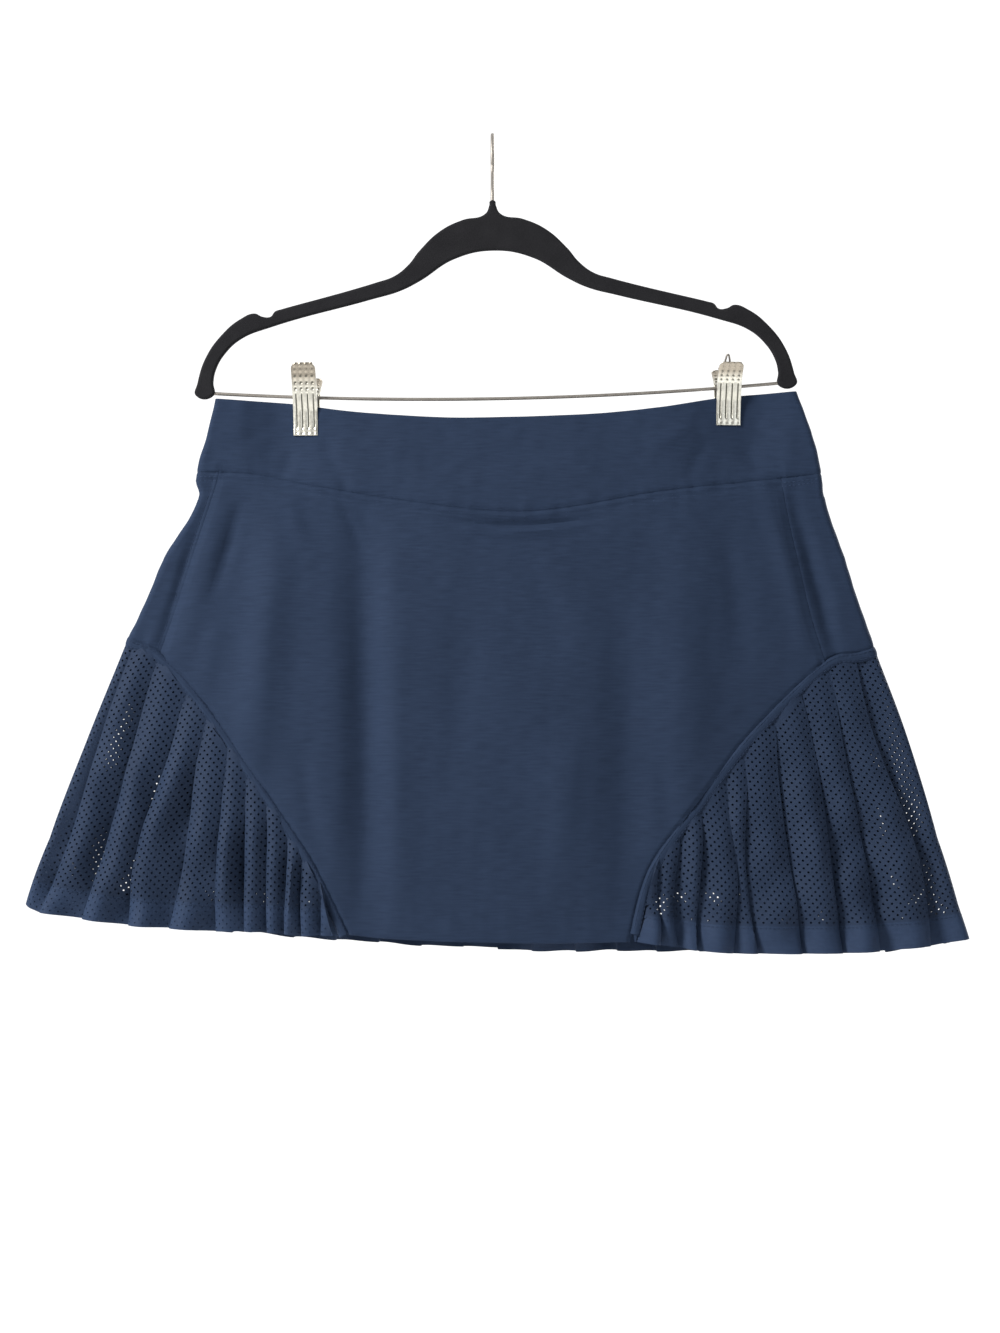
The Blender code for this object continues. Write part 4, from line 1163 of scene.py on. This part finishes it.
def binding(name, seam, start, end, wraps, face):
    """The narrow crowned strip along a flounce's seam, which covers the cloth's edge."""
    sides = {0: start, 1: end}

    def place(a, b):
        share = np.clip(a, start, end)
        x0, d0 = seam.beside(BINDING_WIDTH).along(share)
        x1, d1 = seam.along(share)
        u, drop = x0 + (x1 - x0) * b, d0 + (d1 - d0) * b
        side = np.where(u < 0, LEFT, RIGHT)
        turn = np.abs(a - share)
        for _ in range(6):
            end_u = mid_fold(drop, side)
            here = u + (end_u - u) * turn
            low, top = seam.beside(BINDING_WIDTH).drop_at(here), seam.drop_at(here)
            drop = np.where(turn > 0, low + (top - low) * b, drop)
        u = np.where(turn > 0, here, u)
        crown = 1 - np.abs(2 * b - 1) ** 3
        pucker = 0.12 * MM * ripple(share, share * 0, 0.03, 41)
        flat = 1 - 0.6 * ease(np.abs(mid_fold(drop, side) - u), 25 * MM, 0)
        out = -TAPE_SUNK + (TAPE_CROWN + pucker) * crown * flat
        return lifted(u, drop, face, out), np.stack([share * 0.35, b * BINDING_WIDTH], -1)

    across = list(np.linspace(start, end, 170 if face == FRONT else 260))
    round_end = np.linspace(0, 1, 9)[1:]
    if 0 in wraps:
        across = [start - turn for turn in reversed(round_end)] + across
    if 1 in wraps:
        across += [end + turn for turn in round_end]
    flip = (face == BACK) != (seam.x[0] > seam.x[-1])
    obj = grid(name + "_tape", across, np.linspace(-0.10, 1.10, 11), place, flip)
    thicken(obj, TAPE_WALL, 0.2 * MM)
    return dress(obj, JERSEY, JERSEY_SLOT, name)


def bindings():
    made = []
    for name, side in (("binding_left", LEFT), ("binding_right", RIGHT)):
        sweep = SWEEPS[side]
        ends = fold_share(sweep, side), sweep.share_at_drop(0.3915)
        made.append(binding(name, sweep, *ends, (0,), FRONT))
    ends = fold_share(BACK_SEAM, LEFT), fold_share(BACK_SEAM, RIGHT)
    made.append(binding("binding_back", BACK_SEAM, *ends, (0, 1), BACK))
    return made


# ---- stitches ------------------------------------------------------------------------
def stitch_row(points):
    """The two ends of each stitch along a row of points."""
    steps = np.linalg.norm(np.diff(points, axis=0), axis=1)
    walked = np.concatenate([[0], np.cumsum(steps)])
    starts = np.arange(0, walked[-1] - STITCH, STITCH + STITCH_GAP)
    read = lambda at: np.stack([np.interp(at, walked, points[:, axis]) for axis in range(3)], -1)
    return read(starts), read(starts + STITCH)


def stitches(name, rows, slot=JERSEY_SLOT, thread=THREAD):
    """One mesh of small thread capsules, one for each stitch of each row."""
    pairs = [stitch_row(np.asarray(row)) for row in rows]
    start, end = (np.concatenate(ends) for ends in zip(*pairs))
    along = end - start
    along /= np.linalg.norm(along, axis=1, keepdims=True)
    aside = np.cross(along, (0.31, 0.83, 0.46))
    aside /= np.linalg.norm(aside, axis=1, keepdims=True)
    other = np.cross(along, aside)
    sides = 4
    angles = np.arange(sides) * math.tau / sides
    circle = aside[:, None] * np.cos(angles)[:, None] + other[:, None] * np.sin(angles)[:, None]
    tapered = along * STITCH * 0.12
    near, far = start + tapered, end - tapered
    rings = [near[:, None] + circle * THREAD_RADIUS, far[:, None] + circle * THREAD_RADIUS]
    points = np.concatenate([start[:, None], *rings, end[:, None]], 1)
    base = (np.arange(len(start)) * (2 * sides + 2))[:, None]
    one = 1 + np.arange(sides)
    after = 1 + (np.arange(sides) + 1) % sides
    tip = 2 * sides + 1
    quads = np.stack([one, one + sides, after + sides, after], -1)
    near_cap, far_cap = (one * 0, one, after), (one * 0 + tip, after + sides, one + sides)
    caps = np.concatenate([np.stack(near_cap, -1), np.stack(far_cap, -1)])
    quads = (base[:, :, None] + quads[None]).reshape(-1, 4)
    caps = (base[:, :, None] + caps[None]).reshape(-1, 3)
    obj = mesh_object(name, points.reshape(-1, 3), [quads[:, ::-1], caps[:, ::-1]])
    dress(obj, thread, slot)


def row_beside(line, distance, start=0.0, end=1.0, margin=5 * MM):
    """Places of a stitch row beside a seam line, between the side folds."""
    x, drop = line.beside(distance).along(np.linspace(start, end, 800))
    inside = (x > mid_fold(drop, LEFT) + margin) & (x < mid_fold(drop, RIGHT) - margin)
    return x[inside], drop[inside]


def on_relief(x, drop, face):
    return lifted(x, drop, face, relief(x, drop, face) + 0.12 * MM)


def jersey_stitches():
    rows = []
    for face in (FRONT, BACK):
        for distance in BAND_STITCHES:
            rows.append(on_relief(*row_beside(BAND_SEAM, distance), face))
    stitches("stitches_band", rows, thread=BAND_THREAD)
    rows = []
    for face in (FRONT, BACK):
        for side, seam in SIDE_SEAMS.items():
            ends = seam.share_at_drop(0.068), seam.share_at_drop(0.190)
            rows.append(on_relief(*row_beside(seam, side * SIDE_STITCHES, *ends), face))
    ends = FRONT_HEM.share_at_x(-0.097), FRONT_HEM.share_at_x(0.097)
    for distance in HEM_STITCHES:
        rows.append(on_relief(*row_beside(FRONT_HEM, -distance, *ends), FRONT))
    stitches("stitches_jersey", rows)


def binding_stitches():
    rows = []
    for seam, face in ((SWEEPS[LEFT], FRONT), (SWEEPS[RIGHT], FRONT), (BACK_SEAM, BACK)):
        end = 1.0 if face == BACK else seam.share_at_drop(0.389)
        for distance in (1.1 * MM, BINDING_WIDTH - 1.1 * MM):
            x, drop = row_beside(seam, distance, 0.0, end)
            rows.append(lifted(x, drop, face, np.full(x.shape, 0.52 * MM)))
    stitches("stitches_binding", rows)


def hem_stitches(runs):
    rows = []
    for pleats, face in runs:
        s = np.linspace(0, pleats.total, int(pleats.total / (0.8 * MM)))
        s = s[pleats.seam_at(s) > HEM_BAND + 4 * MM]
        u, drop, off = pleats.places(s, np.full(s.shape, HEM_BAND - 1.5 * MM))
        rows.append(lifted(u, drop, face, off + 0.2 * MM))
    stitches("stitches_flounce_hems", rows, MESH_SLOT)


def shorts_stitches():
    rows = []
    for side in (LEFT, RIGHT):
        a = np.linspace(0.004, 0.996, 900)
        for height in (0.062, 0.071):
            points, _ = shorts_places(side, a, np.full(a.shape, height))
            rows.append(points + np.sign(points[:, 1:2]) * (0, 0.15 * MM, 0))
    stitches("stitches_shorts", rows)


# ---- hanger --------------------------------------------------------------------------
def curve(name, points, cyclic=False, kind="BEZIER"):
    data = bpy.data.curves.new(name, "CURVE")
    spline = data.splines.new(kind)
    if kind == "BEZIER":
        spline.bezier_points.add(len(points) - 1)
        for knot, place in zip(spline.bezier_points, points):
            knot.co = place
            knot.handle_left_type = knot.handle_right_type = "AUTO"
    else:
        spline.points.add(len(points) - 1)
        for knot, place in zip(spline.points, points):
            knot.co = (*place, 1)
    spline.use_cyclic_u = cyclic
    return link(name, data)


def wire(name, points, radius, sides=3, kind="POLY"):
    """A round wire along points, as a mesh."""
    obj = curve(name, points, kind=kind)
    obj.data.dimensions = "3D"
    obj.data.bevel_depth = radius
    obj.data.bevel_resolution = sides
    obj.data.use_fill_caps = True
    return to_mesh(obj)


def to_mesh(obj):
    """The mesh of a curve, in its place."""
    bpy.context.view_layer.update()
    depsgraph = bpy.context.evaluated_depsgraph_get()
    mesh = bpy.data.meshes.new_from_object(obj.evaluated_get(depsgraph))
    mesh.transform(obj.matrix_world)
    name, data = obj.name, obj.data
    bpy.data.objects.remove(obj)
    bpy.data.curves.remove(data)
    mesh.shade_smooth()
    mesh.set_sharp_from_angle(angle=math.radians(50))
    mesh.name = name
    return link(name, mesh)


def tilted(obj):
    """Turns a hanger piece, modelled level, about the top of the neck."""
    neck = Matrix.Translation((0, 0, NECK_Z))
    obj.data.transform(neck @ Matrix.Rotation(-HANGER_TILT, 4, "Y"))
    return obj


def hanger_body():
    half = HANGER_UPPER + HANGER_LOWER
    mirrored = [Corner(-c.x, c.drop) for c in reversed(half) if c.x > 0]
    outline = [(c.x, -c.drop, 0) for c in half + mirrored]
    obj = curve("hanger_body_velvet", outline, cyclic=True)
    data = obj.data
    data.dimensions = "2D"
    data.fill_mode = "BOTH"
    data.resolution_u = 10
    edge = 2.0 * MM
    data.extrude = HANGER_THICK / 2 - edge
    data.bevel_depth = edge
    data.bevel_resolution = 4
    data.offset = -edge
    obj.rotation_euler.x = math.pi / 2
    obj = tilted(to_mesh(obj))
    dress(obj, VELVET, "black_velvet", "hanger_body")


def bar_drop(x):
    return BAR_DROP + BAR_SAG * (1 - (x / BAR_HALF_LENGTH) ** 2)


def hanger_bar():
    reach = BAR_HALF_LENGTH + 3.5 * MM  # into the hanger's ends
    x = np.linspace(-reach, reach, 60)
    obj = wire("hanger_bar_steel", [(v, 0, -bar_drop(v)) for v in x], BAR_RADIUS)
    dress(tilted(obj), STEEL, STEEL_SLOT, "hanger_bar")


def hanger_hook():
    """The hook's wire: up from the neck, out, over the rod and down to a rounded tip."""
    radius = HOOK_INSIDE + HOOK_WIRE
    start, bend_top = NECK_Z + 4 * MM, -HOOK_INSIDE - 3 * MM
    points = [(0, 0, NECK_Z - 4 * MM), (0, 0, start)]
    for share in np.linspace(0, 1, 14)[1:-1]:
        out = 0.985 * radius * float(ease(share, 0, 1))
        points.append((0, out, start + (bend_top - start) * share))
    for angle in np.radians(range(-10, 202, 6)):
        points.append((0, radius * math.cos(angle), radius * math.sin(angle) - HOOK_INSIDE))
    obj = wire("hanger_hook_wire", points, HOOK_WIRE)
    dress(obj, STEEL, STEEL_SLOT, "hanger_hook")


# ---- clips ---------------------------------------------------------------------------
def pressed(x, z, rows, radius):
    """1 in the middle of each dimple of those rows, falling to 0 around it."""
    out = 0
    for height in rows:
        for column in RIB_COLUMNS:
            out = out + np.exp(-((x - column) ** 2 + (z - height) ** 2) / radius**2)
    return out


def grooved(x, z):
    """1 in the narrow grooves between a plate's ribs."""
    low, high = RIB_ENDS
    along = ease(z, low, low + 0.8 * MM) * (1 - ease(z, high - 1.0 * MM, high))
    across = [((x - column) / (0.62 * MM)) ** 2 for column in RIB_COLUMNS]
    return along * sum(np.exp(-(off**1.5)) for off in across)


def plate_detail(x, z):
    """How far a clip's plate is pressed out: dimples above, grooves below."""
    out = 0.60 * MM * pressed(x, z, DIMPLE_ROWS[2:], 1.15 * MM)
    out = out - 0.75 * MM * pressed(x, z, DIMPLE_ROWS[:2], 1.15 * MM)
    out = out - 0.6 * MM * pressed(x, z, (JAW_DIMPLES,), 0.9 * MM)
    return out - 0.7 * MM * grooved(x, z)


def clip_plate(name, face, tab, place):
    """One plate. Above its shoulder it is bent outwards more, the lower its tab reaches."""
    heights, *columns = zip(*reversed(CLIP_PLATE))
    half = CLIP_WIDTH / 2 - 0.3 * MM
    shoulder, shoulder_off, top = 3.0 * MM, 6.6 * MM, heights[-1]
    bent = (tab - shoulder) / (top - shoulder)

    def at(share, z):
        narrow = 1 - 0.22 * ease(z, top - 4 * MM, top)
        flat = np.clip(share, -1, 1)
        turned = np.clip(np.abs(share) - 1, 0, 1)
        off, flange = (np.interp(z, heights, column) for column in columns)
        x = flat * half * narrow
        off = np.where(z > shoulder, shoulder_off + (off - shoulder_off) * (2 - bent), off)
        off = off + CLIP_SHEET - (flange + 0.5 * MM) * turned + plate_detail(x, z) * (turned == 0)
        off = off - 0.35 * MM * ease(np.abs(flat), 0.86, 1.0)
        height = np.where(z > shoulder, shoulder + (z - shoulder) * bent, z)
        return np.stack([x, face * off, height], -1), np.stack([x, z], -1)

    flat = np.linspace(-1, 1, 41)
    across = np.concatenate([[-2, -1.6, -1.2], flat, [1.2, 1.6, 2]])
    obj = grid(name, across, np.linspace(-28 * MM, top, 60), at, flip=face == BACK)
    thicken(obj, 0.6 * MM, 0.16 * MM)
    obj.data.transform(place)
    return obj


def clip_spring(name, place, loop):
    """The torsion spring: its coil round the bar, its two legs, and on one a wire loop."""
    radius, half, turns = 2.85 * MM, 5.0 * MM, 9.5
    leg = [(4.95 * MM, 9 * MM), (7.65 * MM, 15 * MM)]  # (off, height) above the coil
    points = [(-half, off, height) for off, height in reversed(leg)]
    for angle in np.arange(0, turns * math.tau, math.tau / 16):
        x = -half + 2 * half * angle / (turns * math.tau)
        points.append((x, radius * math.cos(angle), radius * math.sin(angle)))
    points += [(half, -off, height) for off, height in leg]
    obj = wire(name, points, 0.5 * MM, 2)
    if loop:
        leaning = [(x, -7.5 * MM - 0.45 * (z - LOOP[0].z), z) for x, z in LOOP]
        bow = wire(name + "_loop", leaning, 0.75 * MM, 2, "BEZIER")
        bow.data.transform(place)
        dress(bow, STEEL, STEEL_SLOT)
    obj.data.transform(place)
    return obj


def clip(which):
    low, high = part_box(f"{which.name}_spring")
    place = Matrix.Translation((low + high) / 2) @ Matrix.Rotation(which.yaw, 4, "Z")
    for part, face, tab in (("front", FRONT, which.front_tab), ("back", BACK, which.back_tab)):
        node = f"{which.name}_{part}"
        dress(clip_plate(node + "_plate", face, tab, place), PLATE, STEEL_SLOT, node)
    spring = clip_spring(f"{which.name}_coil", place, loop=which.name == "clip_right")
    dress(spring, STEEL, STEEL_SLOT, f"{which.name}_spring")


# ---- camera, light and floor ---------------------------------------------------------
def camera():
    data = bpy.data.cameras.new("camera")
    data.lens = 73.6
    obj = link("camera", data)
    obj.location = (0.0055, -2.0, -0.3884)
    obj.rotation_euler = (math.pi / 2, 0, 0)
    bpy.context.scene.camera = obj


def area_light(name, place, size, power, colour):
    """A round lamp that faces the middle of the skort."""
    data = bpy.data.lights.new(name, "AREA")
    data.shape = "DISK"
    data.size = size
    data.energy = power
    data.color = colour
    obj = link(name, data)
    obj.location = place
    aim = Vector((0, 0, -0.4)) - Vector(place)
    obj.rotation_euler = aim.to_track_quat("-Z", "Y").to_euler()


def surroundings():
    """A bright white tent behind and above, a dimmer room in front, and plain white wherever
    it is seen straight on."""
    n = Nodes(bpy.data.worlds.new("studio"), "Background")
    direction = n.add("ShaderNodeTexCoord").outputs["Generated"]
    _, depth, height = n.add("ShaderNodeSeparateXYZ", {0: direction}).outputs
    behind, above = n.ranged(depth, -0.30, 0.02, 0.22, 1.15), n.ranged(height, 0.35, 0.9, 0.0, 0.9)
    seen = n.add("ShaderNodeLightPath").outputs["Is Camera Ray"]
    n.look(Color=(1, 1, 1), Strength=n.math("MAXIMUM", n.math("ADD", behind, above), seen))
    return n.owner


def studio():
    bpy.context.scene.world = surroundings()
    area_light("key", (-1.9, -1.3, 0.9), 0.8, 210, (1.0, 0.985, 0.96))
    area_light("fill", (1.6, -1.7, 0.1), 1.6, 12, (0.93, 0.96, 1.0))
    area_light("back", (1.9, 1.5, 0.8), 1.0, 110, (1.0, 0.985, 0.96))
    mesh = bpy.data.meshes.new("floor")
    size, low = 14.0, -1.9
    corners = [(-size, -size, low), (size, -size, low), (size, size, low), (-size, size, low)]
    mesh.from_pydata(corners, [], [(0, 1, 2, 3)])
    floor = link("floor", mesh)
    n = new_material("pale_floor")
    blotches = n.noise(n.solid_place(), (3, 3, 3))
    n.look(Base_Color=n.blend(blotches, (0.90, 0.90, 0.90), (0.93, 0.93, 0.93)))
    n.look(Roughness=0.9, Specular_IOR_Level=0.1)
    mesh.materials.append(n.owner)
    bpy.context.scene.view_settings.view_transform = "Standard"


# ---- all together --------------------------------------------------------------------
camera()
studio()
waistband("waistband_front", FRONT)
waistband("waistband_back", BACK)
front_panel()
back_panel()
side_panel("side_panel_left", LEFT)
side_panel("side_panel_right", RIGHT)
flounces = [
    front_flounce("flounce_left", LEFT),
    front_flounce("flounce_right", RIGHT),
    back_flounce("flounce_back_left", LEFT),
    back_flounce("flounce_back_right", RIGHT),
]
tapes = bindings()
for number, (cloth, facing, pleats) in enumerate(flounces):
    declare_flounce(pleats)
shorts_half("shorts_left", LEFT)
shorts_half("shorts_right", RIGHT)
jersey_stitches()
binding_stitches()
hem_stitches([(pleats, face) for (_, _, pleats), face in zip(flounces, (FRONT, FRONT, BACK, BACK))])
shorts_stitches()
hanger_body()
hanger_bar()
hanger_hook()
for which in CLIPS:
    clip(which)
